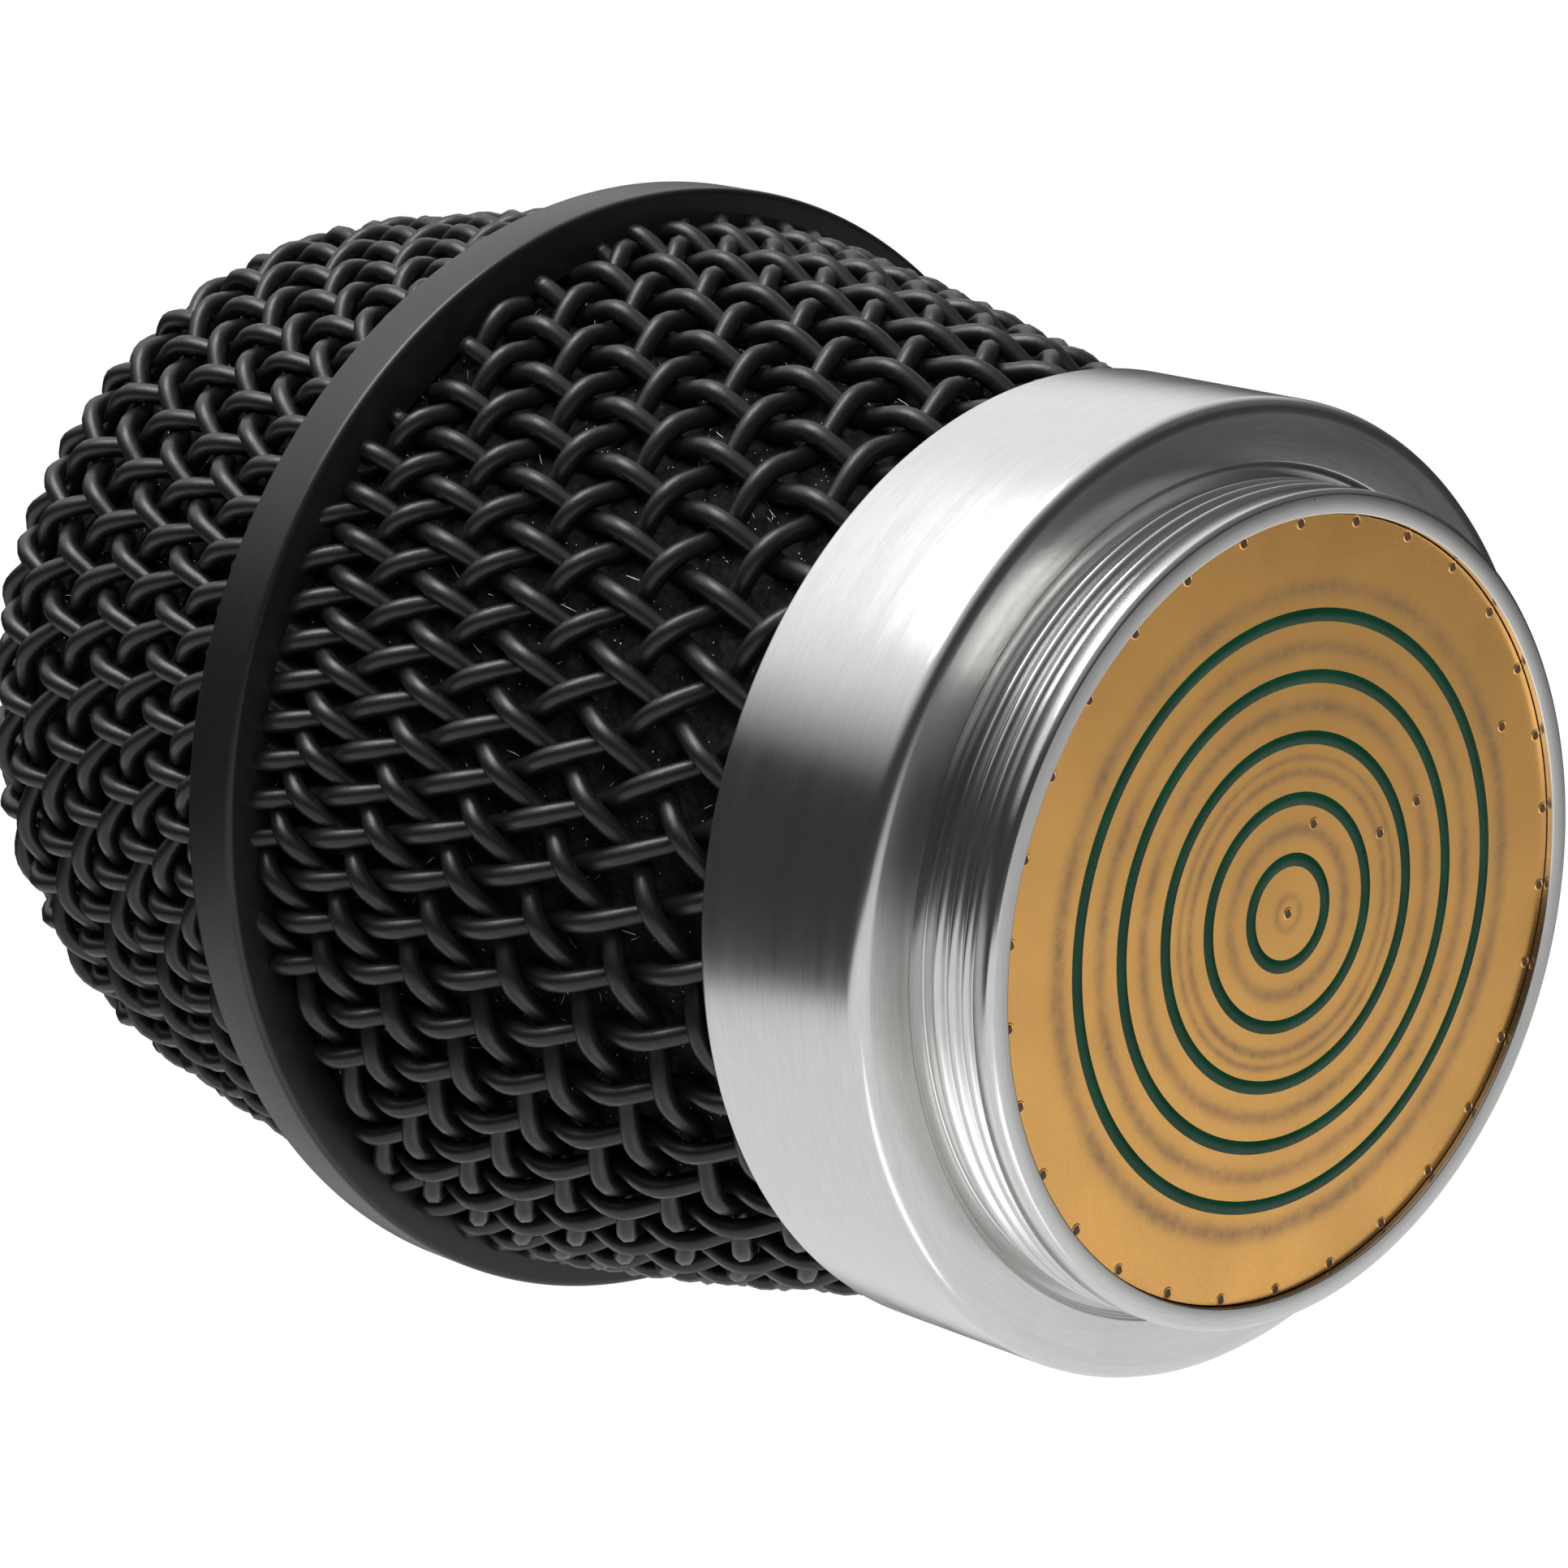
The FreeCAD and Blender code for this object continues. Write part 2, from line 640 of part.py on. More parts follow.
def make_capsule():
    """Capsule in its rubber shock mount, from the housing up to the front grid."""
    turned("shock_mount", [
        (size("MountOpening"), cup_floor),
        (mount_radius, cup_floor),
        (mount_radius, cup_rim),
        (mount_bore, cup_rim),
        (mount_bore, capsule_base),
        (size("MountOpening"), capsule_base),
    ])
    turned("capsule_housing", [
        (size("TerminalHole"), capsule_base),
        (size("CapsuleRadius"), capsule_base),
        (size("CapsuleRadius"), housing_top),
        (housing_bore, housing_top),
        (housing_bore, insulator_low),
        (size("TerminalHole"), insulator_low),
    ])
    turned("insulator_ring", rectangle(size("InsulatorBore"), seat_radius, insulator_low, backplate_low))
    plate = turned("backplate", rectangle(ZERO, seat_radius, backplate_low, backplate_top))
    drill(plate, "plate_hole", size("GroundOffset"), size("PlateHole"), backplate_top,
          size("BackplateThickness"), GRID_HOLES)
    ring_bore = seat_radius - size("RingWidth")
    turned("spacer_ring", rectangle(ring_bore, seat_radius, backplate_top, spacer_top))
    turned("diaphragm", rectangle(ZERO, seat_radius, spacer_top, diaphragm_top))
    turned("tension_ring", rectangle(ring_bore, seat_radius, diaphragm_top, tension_top))
    grid = turned("front_grid", rectangle(ZERO, seat_radius, tension_top, housing_top))
    drill(grid, "grid_hole", size("GridCircle"), size("GridHole"), housing_top,
          size("GridThickness"), GRID_HOLES)
    as_node(cylinder("signal_wire", ZERO, ZERO, ledge, size("LeadRadius"), backplate_low - ledge), "signal_lead")
    as_node(cylinder("ground_wire", size("GroundOffset"), ZERO, ledge, size("LeadRadius"),
                     capsule_base - ledge), "ground_lead")


def hang(name, x, y, length, width, height):
    """Hang a chip component under the preamplifier board, centred at x and y."""
    item = box(name + "_body", x - length / 2, y - width / 2, preamp_low - height, length, width, height)
    as_node(item, name)


def make_preamplifier():
    """Preamplifier board under the carrier's flange, its components, and the header to the contacts."""
    length, width = size("PreampLength"), size("PreampWidth")
    as_node(box("preamp_plate", -length / 2, -width / 2, preamp_low, length, width,
                size("PreampThickness")), "preamp_board")
    body = new_body("pin_header")
    sketch = sketch_on(body, "XY_Plane", "header_sketch")
    sketch.AttachmentOffset = FreeCAD.Placement(V(0, 0, laminate_back.value), FreeCAD.Rotation())
    sketch.setExpression("AttachmentOffset.Base.z", laminate_back.text)
    half = size("PinPitch") * (PIN_COUNT / 2)
    middle = -size("HeaderOffset")
    draw(sketch, rectangle(-half, half, middle - size("HeaderWidth") / 2, middle + size("HeaderWidth") / 2))
    hole = size("PinWidth") / 2 + size("CapsuleClearance")
    pins = []
    for number in range(PIN_COUNT):
        x = size("PinPitch") * (number + 0.5 - PIN_COUNT / 2)
        draw(sketch, rectangle(x - hole, x + hole, middle - hole, middle + hole))
        pins.append(box("pin_%d" % number, x - size("PinWidth") / 2, middle - size("PinWidth") / 2,
                        laminate_back, size("PinWidth"), size("PinWidth"), preamp_low - laminate_back))
    pad = body.newObject("PartDesign::Pad", "header_body")
    pad.Profile = sketch
    set_length(pad, preamp_low - laminate_back)
    group = doc.addObject("Part::Compound", "pin_group")
    group.Links = pins
    as_node(group, "header_pins")
    spacing = size("PartSpacing")
    hang("coupling_capacitor", ZERO, spacing, size("CapacitorLength"), size("CapacitorWidth"),
         size("CapacitorHeight"))
    hang("transistor", ZERO, ZERO, size("TransistorLength"), size("TransistorLength") / 2,
         size("TransistorHeight"))
    hang("gate_resistor", -spacing, ZERO, size("ResistorLength"), size("ResistorWidth"),
         size("ResistorHeight"))
    hang("load_resistor", spacing, ZERO, size("ResistorLength"), size("ResistorWidth"),
         size("ResistorHeight"))


make_collar()
make_board()
make_grilles()
make_carrier()
make_capsule()
make_preamplifier()
doc.recompute()

for item in doc.Objects:
    if "Invalid" in item.State or "Error" in item.State:
        raise RuntimeError("%s failed: %s" % (item.Name, item.State))
for item in nodes:
    shape = item.Shape
    if shape.isNull() or not shape.isValid():
        raise RuntimeError("%s has no valid shape" % item.Label)
for item in nodes:
    print("%-20s solids %d volume %10.3f" % (item.Label, len(item.Shape.Solids), item.Shape.Volume))
    item.Shape.exportStep("parts/%s.step" % item.Label)
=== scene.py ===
"""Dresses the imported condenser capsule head: woven baskets, turned collar, contact board and studio.

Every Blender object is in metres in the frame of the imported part, with the nose on the floor at z = 0
and the dome up. Sizes in the classes below are in millimetres and are turned into metres when a mesh is
made.
"""
import logging
import math
from dataclasses import dataclass
from enum import Enum
from typing import Callable, Sequence

import bpy
import numpy as np
from mathutils import Matrix, Vector


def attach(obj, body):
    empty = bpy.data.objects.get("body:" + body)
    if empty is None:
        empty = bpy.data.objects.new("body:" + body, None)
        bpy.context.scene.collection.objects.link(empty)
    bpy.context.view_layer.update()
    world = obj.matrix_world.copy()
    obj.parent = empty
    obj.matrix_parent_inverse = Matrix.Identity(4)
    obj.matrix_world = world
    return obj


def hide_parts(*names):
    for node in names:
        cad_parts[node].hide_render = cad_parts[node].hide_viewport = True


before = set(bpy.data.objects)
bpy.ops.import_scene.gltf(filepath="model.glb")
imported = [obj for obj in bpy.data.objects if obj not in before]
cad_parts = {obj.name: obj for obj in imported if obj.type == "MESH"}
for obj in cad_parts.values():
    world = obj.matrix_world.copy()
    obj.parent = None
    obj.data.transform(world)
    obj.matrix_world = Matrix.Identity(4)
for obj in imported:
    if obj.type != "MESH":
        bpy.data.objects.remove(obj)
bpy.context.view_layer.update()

MM = 0.001
Point = tuple[float, float]
Colour = tuple[float, float, float]
Line = list[Point]

log = logging.getLogger("capsule_head")


# Profiles and meshes of revolution


def arc(centre: Point, radius: float, start: float, end: float, steps: int) -> Line:
    """Sample an arc in the half plane of radius and height.

    Args:
        centre: Radius and height of the arc's centre.
        radius: Radius of the arc.
        start: First angle in degrees, from the outward direction.
        end: Last angle in degrees.
        steps: Number of chords.

    Returns:
        The points from start to end.
    """
    points = []
    for step in range(steps + 1):
        angle = math.radians(start + (end - start) * step / steps)
        points.append((centre[0] + radius * math.cos(angle), centre[1] + radius * math.sin(angle)))
    return points


def rounded(corners: Sequence[tuple[float, float, float]], steps: int = 6) -> Line:
    """Round the corners of an open outline.

    Args:
        corners: Radius, height and rounding of each corner.
        steps: Chords in each rounding.

    Returns:
        The outline with its corners rounded.
    """
    outline = [corners[0][:2]]
    for before, here, after in zip(corners, corners[1:], corners[2:]):
        if here[2] <= 0.0:
            outline.append(here[:2])
            continue
        middle = np.array(here[:2])
        towards = np.array(before[:2]) - middle
        onward = np.array(after[:2]) - middle
        towards /= np.linalg.norm(towards)
        onward /= np.linalg.norm(onward)
        for step in range(steps + 1):
            share = step / steps
            near = middle + towards * here[2] * (1.0 - share)
            far = middle + onward * here[2] * share
            outline.append(tuple(near * (1.0 - share) + far * share))
    outline.append(corners[-1][:2])
    return outline


def mesh_object(name: str, vertices: np.ndarray, faces: Sequence[Sequence[int]]) -> bpy.types.Object:
    """Make a smooth mesh object from vertices in millimetres.

    Args:
        name: Name of the piece.
        vertices: Vertex positions, one row each.
        faces: Vertex numbers of each face.

    Returns:
        The new object, linked to the scene.
    """
    mesh = bpy.data.meshes.new(name)
    mesh.from_pydata((np.asarray(vertices) * MM).tolist(), [], faces)
    mesh.validate()
    mesh.shade_smooth()
    piece = bpy.data.objects.new(name, mesh)
    bpy.context.scene.collection.objects.link(piece)
    return piece


def turned(name: str, outline: Sequence[Point], segments: int, closed: bool = True,
           shape: Callable[[float, np.ndarray], np.ndarray] | None = None) -> bpy.types.Object:
    """Turn an outline about the vertical axis.

    Args:
        name: Name of the piece.
        outline: Radius and height of each point; a radius of zero is a point on the axis.
        segments: Number of steps round the axis.
        closed: Whether the last point joins the first.
        shape: Changes the outline at an angle, or None.

    Returns:
        The turned object.
    """
    vertices = []
    rings = []
    angles = [2.0 * math.pi * n / segments for n in range(segments)]
    shaped = [np.array(outline) if shape is None else shape(angle, np.array(outline)) for angle in angles]
    for number, (radius, height) in enumerate(outline):
        first = len(vertices)
        if radius < 1e-6:
            vertices.append((0.0, 0.0, height))
            rings.append([first] * segments)
            continue
        vertices += [
            (p[number, 0] * math.cos(a), p[number, 0] * math.sin(a), p[number, 1])
            for a, p in zip(angles, shaped)
        ]
        rings.append(list(range(first, first + segments)))
    faces = []
    pairs = list(zip(rings, rings[1:] + rings[:1]))
    for low, high in pairs if closed else pairs[:-1]:
        for n in range(segments):
            following = (n + 1) % segments
            face = [low[n], low[following], high[following], high[n]]
            faces.append([v for k, v in enumerate(face) if v != face[k - 1]])
    return mesh_object(name, np.array(vertices), faces)


def finish_piece(piece: bpy.types.Object, material: bpy.types.Material, slot: str, *nodes: str) -> None:
    """Give a piece its material, body and the nodes that it stands for.

    Args:
        piece: The finished mesh object.
        material: Its material.
        slot: Name of a material slot; not used.
        *nodes: Nodes that the piece replaces.
    """
    piece.data.materials.clear()
    piece.data.materials.append(material)
    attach(piece, "root")
    if nodes:
        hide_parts(*nodes)
    triangles = sum(len(face.vertices) - 2 for face in piece.data.polygons)
    log.info("%s: %d triangles, stands for %s", piece.name, triangles, ", ".join(nodes) or "itself")


# Shader building


class Shader:
    """A node tree with short calls for its nodes and links."""

    def __init__(self, tree: bpy.types.NodeTree) -> None:
        """Take over a tree and empty it."""
        self.tree = tree
        tree.nodes.clear()

    def add(self, kind: str, inputs: dict | None = None, **settings: object) -> bpy.types.Node:
        """Add a node.

        Args:
            kind: Type name of the node.
            inputs: Input name or number to a value or to a socket that feeds it.
            **settings: Properties of the node itself.

        Returns:
            The new node.
        """
        node = self.tree.nodes.new(kind)
        for name, value in settings.items():
            setattr(node, name, value)
        for name, value in (inputs or {}).items():
            self.feed(node.inputs[name], value)
        return node

    def feed(self, socket: bpy.types.NodeSocket, value: object) -> None:
        """Set an input or link it to an output."""
        if isinstance(value, bpy.types.NodeSocket):
            self.tree.links.new(value, socket)
        elif isinstance(value, tuple) and socket.type == "RGBA":
            socket.default_value = (*value[:3], 1.0)
        else:
            socket.default_value = value

    def maths(self, operation: str, *values: object) -> bpy.types.NodeSocket:
        """Add a Math node and return its output."""
        return self.add("ShaderNodeMath", dict(enumerate(values)), operation=operation).outputs[0]

    def noise(
        self, vector: object, scale: float, detail: float = 3.0, rough: float = 0.5
    ) -> bpy.types.NodeSocket:
        """Add a noise texture and return its factor."""
        values = {"Vector": vector, "Scale": scale, "Detail": detail, "Roughness": rough}
        return self.add("ShaderNodeTexNoise", values).outputs["Fac"]

    def spread(
        self, value: object, low: float, high: float, to_low: float = 0.0, to_high: float = 1.0
    ) -> bpy.types.NodeSocket:
        """Map a range of values to another, clamped, and return the result."""
        values = {"Value": value, "From Min": low, "From Max": high, "To Min": to_low, "To Max": to_high}
        return self.add("ShaderNodeMapRange", values).outputs["Result"]

    def blend(
        self, share: object, first: object, second: object, kind: str = "MIX"
    ) -> bpy.types.NodeSocket:
        """Mix two colours and return the result."""
        node = self.add("ShaderNodeMix", data_type="RGBA", blend_type=kind)
        self.feed(node.inputs[0], share)
        self.feed(node.inputs[6], first)
        self.feed(node.inputs[7], second)
        return node.outputs[2]

    def place(self) -> bpy.types.NodeSocket:
        """Return the object coordinates, in metres from the nose."""
        return self.add("ShaderNodeTexCoord").outputs["Object"]

    def bump(self, height: object, strength: float, distance: float) -> bpy.types.NodeSocket:
        """Turn a height, in steps of the distance in metres, into a normal."""
        values = {"Height": height, "Strength": strength, "Distance": distance}
        return self.add("ShaderNodeBump", values).outputs["Normal"]


class Effects:
    """Shader groups that more than one finish uses, each built once."""

    def __init__(self) -> None:
        """Build every group."""
        self.turning = self._turning()
        self.grain = self._grain()
        self.wear = self._wear()

    @staticmethod
    def _start(
        name: str, inputs: dict[str, float], outputs: dict[str, str]
    ) -> tuple[Shader, bpy.types.Node]:
        """Start a group.

        Args:
            name: Name of the group.
            inputs: Names of its number inputs with their usual values.
            outputs: Names of its outputs with their socket types.

        Returns:
            The shader of the group and its input node.
        """
        tree = bpy.data.node_groups.new(name, "ShaderNodeTree")
        for label, value in inputs.items():
            socket = tree.interface.new_socket(label, in_out="INPUT", socket_type="NodeSocketFloat")
            socket.default_value = value
        for label, kind in outputs.items():
            tree.interface.new_socket(label, in_out="OUTPUT", socket_type=kind)
        shader = Shader(tree)
        return shader, shader.add("NodeGroupInput")

    def _turning(self) -> bpy.types.NodeTree:
        """Fine lines that run round the axis, as a tool or a brush leaves them."""
        shader, given = self._start(
            "turning_lines", {"Fineness": 1.0, "Breaks": 1.0}, {
                "Lines": "NodeSocketFloat", "Bands": "NodeSocketFloat"
            }
        )
        place = shader.add("ShaderNodeSeparateXYZ", {0: shader.place()})
        radius = shader.maths(
            "SQRT",
            shader.maths(
                "ADD",
                shader.maths("POWER", place.outputs[0], 2.0),
                shader.maths("POWER", place.outputs[1], 2.0),
            ),
        )
        angle = shader.maths(
            "MULTIPLY",
            shader.maths("ARCTAN2", place.outputs[1], place.outputs[0]),
            shader.maths("MULTIPLY", given.outputs["Breaks"], 0.0016),
        )
        along = shader.add("ShaderNodeCombineXYZ", {0: radius, 1: place.outputs[2], 2: angle}).outputs[0]
        scaled = shader.add("ShaderNodeVectorMath", {0: along}, operation="SCALE")
        shader.feed(scaled.inputs["Scale"], shader.maths("MULTIPLY", given.outputs["Fineness"], 1000.0))
        fine = shader.noise(scaled.outputs[0], 9.0, 4.0, 0.7)
        broad = shader.noise(scaled.outputs[0], 1.3, 2.0, 0.5)
        shader.add("NodeGroupOutput", {"Lines": fine, "Bands": broad})
        return shader.tree

    def _grain(self) -> bpy.types.NodeTree:
        """Even fine grain with a slow variation of tone."""
        shader, given = self._start(
            "fine_grain", {"Grain Size": 0.1, "Patch Size": 4.0}, {
                "Grain": "NodeSocketFloat", "Patches": "NodeSocketFloat"
            }
        )
        place = shader.place()
        outputs = {}
        for label, source in (("Grain", "Grain Size"), ("Patches", "Patch Size")):
            scale = shader.maths("DIVIDE", 1000.0, given.outputs[source])
            outputs[label] = shader.noise(place, scale, 3.0)
        shader.add("NodeGroupOutput", outputs)
        return shader.tree

    def _wear(self) -> bpy.types.NodeTree:
        """Bright edges and scattered specks."""
        shader, given = self._start(
            "edges_and_specks", {"Edge Gain": 6.0, "Speck Size": 0.5, "Speck Share": 0.3},
            {"Edges": "NodeSocketFloat", "Specks": "NodeSocketFloat"},
        )
        curve = shader.add("ShaderNodeNewGeometry").outputs["Pointiness"]
        edges = shader.maths("MULTIPLY", shader.maths("SUBTRACT", curve, 0.5), given.outputs["Edge Gain"])
        edges = shader.add("ShaderNodeClamp", {"Value": edges}).outputs[0]
        scale = shader.maths("DIVIDE", 1000.0, given.outputs["Speck Size"])
        cells = shader.add("ShaderNodeTexVoronoi", {"Vector": shader.place(), "Scale": scale}, feature="F1")
        close = shader.maths(
            "LESS_THAN",
            cells.outputs["Distance"],
            shader.maths("MULTIPLY", given.outputs["Speck Share"], 0.4),
        )
        chance = shader.maths(
            "LESS_THAN",
            shader.add("ShaderNodeSeparateXYZ", {0: cells.outputs["Color"]}).outputs[0],
            given.outputs["Speck Share"],
        )
        shader.add("NodeGroupOutput", {"Edges": edges, "Specks": shader.maths("MULTIPLY", close, chance)})
        return shader.tree

    def place(self, shader: Shader, group: bpy.types.NodeTree, **values: float) -> bpy.types.Node:
        """Put one of the groups in a material.

        Args:
            shader: Shader of the material.
            group: The group.
            **values: Its inputs, with underscores for the spaces of their names.

        Returns:
            The group node.
        """
        node = shader.add("ShaderNodeGroup", node_tree=group)
        for label, value in values.items():
            node.inputs[label.replace("_", " ").title()].default_value = value
        return node


def new_material(name: str) -> tuple[bpy.types.Material, Shader, bpy.types.Node]:
    """Start a material.

    Args:
        name: Name of the finish.

    Returns:
        The material, its shader and its Principled node.
    """
    material = bpy.data.materials.new(name)
    material.use_nodes = True
    shader = Shader(material.node_tree)
    surface = shader.add("ShaderNodeBsdfPrincipled")
    shader.add("ShaderNodeOutputMaterial", {"Surface": surface.outputs[0]})
    return material, shader, surface


# Finishes


@dataclass(frozen=True)
class TurnedMetal:
    """Bare turned and brushed metal."""

    name: str
    colour: Colour = (0.68, 0.68, 0.67)
    roughness: float = 0.21
    streak: float = 0.04
    anisotropy: float = 0.6
    line_depth: float = 0.000004

    def make(self, effects: Effects) -> bpy.types.Material:
        """Build the material."""
        material, shader, surface = new_material(self.name)
        lines = effects.place(shader, effects.turning, fineness=1.0, breaks=1.0)
        marks = effects.place(shader, effects.wear, edge_gain=5.0, speck_size=1.6, speck_share=0.10)
        grain = effects.place(shader, effects.grain, grain_size=0.25, patch_size=6.0)
        dull = tuple(0.72 * c for c in self.colour)
        tone = shader.spread(lines.outputs["Lines"], 0.30, 0.70)
        colour = shader.blend(shader.maths("MULTIPLY", tone, 0.35), self.colour, dull)
        colour = shader.blend(
            shader.maths("MULTIPLY", marks.outputs["Specks"], 0.45), colour, (0.20, 0.19, 0.18)
        )
        shader.feed(surface.inputs["Base Color"], colour)
        surface.inputs["Metallic"].default_value = 1.0
        rough = shader.spread(
            lines.outputs["Bands"],
            0.3,
            0.7,
            self.roughness - self.streak / 2,
            self.roughness + self.streak / 2,
        )
        rough = shader.maths("ADD", rough, shader.spread(grain.outputs["Patches"], 0.35, 0.7, -0.01, 0.02))
        shader.feed(surface.inputs["Roughness"], rough)
        surface.inputs["Anisotropic"].default_value = self.anisotropy
        surface.inputs["Anisotropic Rotation"].default_value = 0.25
        shader.feed(
            surface.inputs["Tangent"],
            shader.add("ShaderNodeTangent", direction_type="RADIAL", axis="Z").outputs[0],
        )
        shader.feed(surface.inputs["Normal"], shader.bump(lines.outputs["Lines"], 0.35, self.line_depth))
        return material


@dataclass(frozen=True)
class PlatedGold:
    """Gold plating of the contact board, rubbed in rings by the contact pins."""

    name: str = "rubbed_gold"
    bright: Colour = (1.0, 0.545, 0.165)
    dull: Colour = (0.40, 0.265, 0.165)
    wear_rings: tuple[tuple[float, float, float], ...] = (
        (0.62, 0.18, 0.60), (3.10, 0.28, 0.80), (5.25, 0.19, 0.85), (5.78, 0.15, 0.70),
        (7.65, 0.28, 0.80), (9.85, 0.30, 0.80), (12.00, 0.36, 0.85),
    )

    def make(self, effects: Effects) -> bpy.types.Material:
        """Build the material with one soft dark ring for each contact pin."""
        material, shader, surface = new_material(self.name)
        place = shader.place()
        apart = shader.add("ShaderNodeSeparateXYZ", {0: place})
        square = shader.maths(
            "ADD",
            shader.maths("POWER", apart.outputs[0], 2.0),
            shader.maths("POWER", apart.outputs[1], 2.0),
        )
        wander = shader.maths(
            "MULTIPLY", shader.maths("SUBTRACT", shader.noise(place, 300.0, 2.0), 0.5), 0.12
        )
        radius = shader.maths("ADD", shader.maths("MULTIPLY", shader.maths("SQRT", square), 1000.0), wander)
        rubbed = 0.0
        for middle, width, strength in self.wear_rings:
            off = shader.maths("DIVIDE", shader.maths("SUBTRACT", radius, middle), width)
            fall = shader.maths("MULTIPLY", shader.maths("MULTIPLY", off, off), -1.0)
            ring = shader.maths("MULTIPLY", shader.maths("EXPONENT", fall), strength)
            rubbed = shader.maths("ADD", ring, rubbed)
        broken = shader.spread(shader.noise(place, 2600.0, 4.0, 0.7), 0.32, 0.62, 0.55, 1.0)
        patch = shader.spread(shader.noise(place, 420.0, 2.0), 0.35, 0.65, 0.60, 1.0)
        rubbed = shader.maths("MULTIPLY", shader.maths("MULTIPLY", rubbed, broken), patch)
        marks = effects.place(shader, effects.wear, edge_gain=3.0, speck_size=0.9, speck_share=0.05)
        grain = effects.place(shader, effects.grain, grain_size=0.12, patch_size=5.0)
        tone = shader.spread(grain.outputs["Patches"], 0.3, 0.7)
        colour = shader.blend(tone, self.bright, tuple(0.86 * c for c in self.bright))
        colour = shader.blend(rubbed, colour, self.dull)
        colour = shader.blend(
            shader.maths("MULTIPLY", marks.outputs["Specks"], 0.5), colour, (0.16, 0.11, 0.06)
        )
        shader.feed(surface.inputs["Base Color"], colour)
        surface.inputs["Metallic"].default_value = 1.0
        rough = shader.maths(
            "ADD",
            shader.spread(grain.outputs["Grain"], 0.3, 0.7, 0.26, 0.34),
            shader.maths("MULTIPLY", rubbed, 0.25),
        )
        shader.feed(surface.inputs["Roughness"], rough)
        shader.feed(surface.inputs["Normal"], shader.bump(grain.outputs["Grain"], 0.15, 0.000004))
        return material


@dataclass(frozen=True)
class Laminate:
    """Green solder mask over woven glass laminate."""

    name: str
    colour: Colour = (0.0010, 0.026, 0.012)
    roughness: float = 0.32
    specular: float = 0.25

    def make(self, effects: Effects) -> bpy.types.Material:
        """Build the material."""
        material, shader, surface = new_material(self.name)
        grain = effects.place(shader, effects.grain, grain_size=0.2, patch_size=3.0)
        pale = tuple(min(1.0, 1.5 * c + 0.001) for c in self.colour)
        surface.inputs["Specular IOR Level"].default_value = self.specular
        shader.feed(
            surface.inputs["Base Color"],
            shader.blend(shader.spread(grain.outputs["Patches"], 0.3, 0.7), self.colour, pale),
        )
        shader.feed(
            surface.inputs["Roughness"],
            shader.spread(grain.outputs["Grain"], 0.3, 0.7, self.roughness, self.roughness + 0.15),
        )
        shader.feed(surface.inputs["Normal"], shader.bump(grain.outputs["Grain"], 0.2, 0.00001))
        return material


@dataclass(frozen=True)
class Coat:
    """Powder coat, plastic, rubber or paint: a plain colour with grain and worn edges."""

    name: str
    colour: Colour
    roughness: float = 0.42
    worn: Colour = (0.05, 0.05, 0.052)
    grain: float = 0.09
    depth: float = 0.000010
    edge: float = 0.35
    metallic: float = 0.0
    specular: float = 0.5

    def make(self, effects: Effects) -> bpy.types.Material:
        """Build the material."""
        material, shader, surface = new_material(self.name)
        grain = effects.place(shader, effects.grain, grain_size=self.grain, patch_size=3.5)
        marks = effects.place(shader, effects.wear, edge_gain=5.0, speck_size=0.8, speck_share=0.05)
        pale = tuple(1.5 * c for c in self.colour)
        colour = shader.blend(shader.spread(grain.outputs["Patches"], 0.3, 0.7), self.colour, pale)
        colour = shader.blend(
            shader.maths("MULTIPLY", marks.outputs["Edges"], self.edge), colour, self.worn
        )
        shader.feed(surface.inputs["Base Color"], colour)
        surface.inputs["Metallic"].default_value = self.metallic
        surface.inputs["Specular IOR Level"].default_value = self.specular
        shader.feed(
            surface.inputs["Roughness"],
            shader.spread(grain.outputs["Grain"], 0.25, 0.75, self.roughness - 0.06, self.roughness + 0.08),
        )
        shader.feed(surface.inputs["Normal"], shader.bump(grain.outputs["Grain"], 0.35, self.depth))
        return material


@dataclass(frozen=True)
class OpenFoam:
    """Black open foam with pale lint caught in it."""

    name: str = "linted_foam"
    colour: Colour = (0.0045, 0.0045, 0.005)
    lint: Colour = (0.85, 0.85, 0.86)
    lint_share: float = 0.30

    def make(self, effects: Effects) -> bpy.types.Material:
        """Build the material."""
        material, shader, surface = new_material(self.name)
        grain = effects.place(shader, effects.grain, grain_size=0.28, patch_size=2.2)
        marks = effects.place(
            shader, effects.wear, edge_gain=2.0, speck_size=0.22, speck_share=self.lint_share
        )
        here = shader.spread(grain.outputs["Patches"], 0.38, 0.52)
        colour = shader.blend(
            shader.spread(grain.outputs["Grain"], 0.3, 0.7),
            self.colour,
            tuple(3.0 * c for c in self.colour),
        )
        colour = shader.blend(shader.maths("MULTIPLY", marks.outputs["Specks"], here), colour, self.lint)
        shader.feed(surface.inputs["Base Color"], colour)
        surface.inputs["Roughness"].default_value = 0.95
        surface.inputs["Specular IOR Level"].default_value = 0.15
        shader.feed(surface.inputs["Normal"], shader.bump(grain.outputs["Grain"], 1.0, 0.00012))
        return material


# The basket's weave


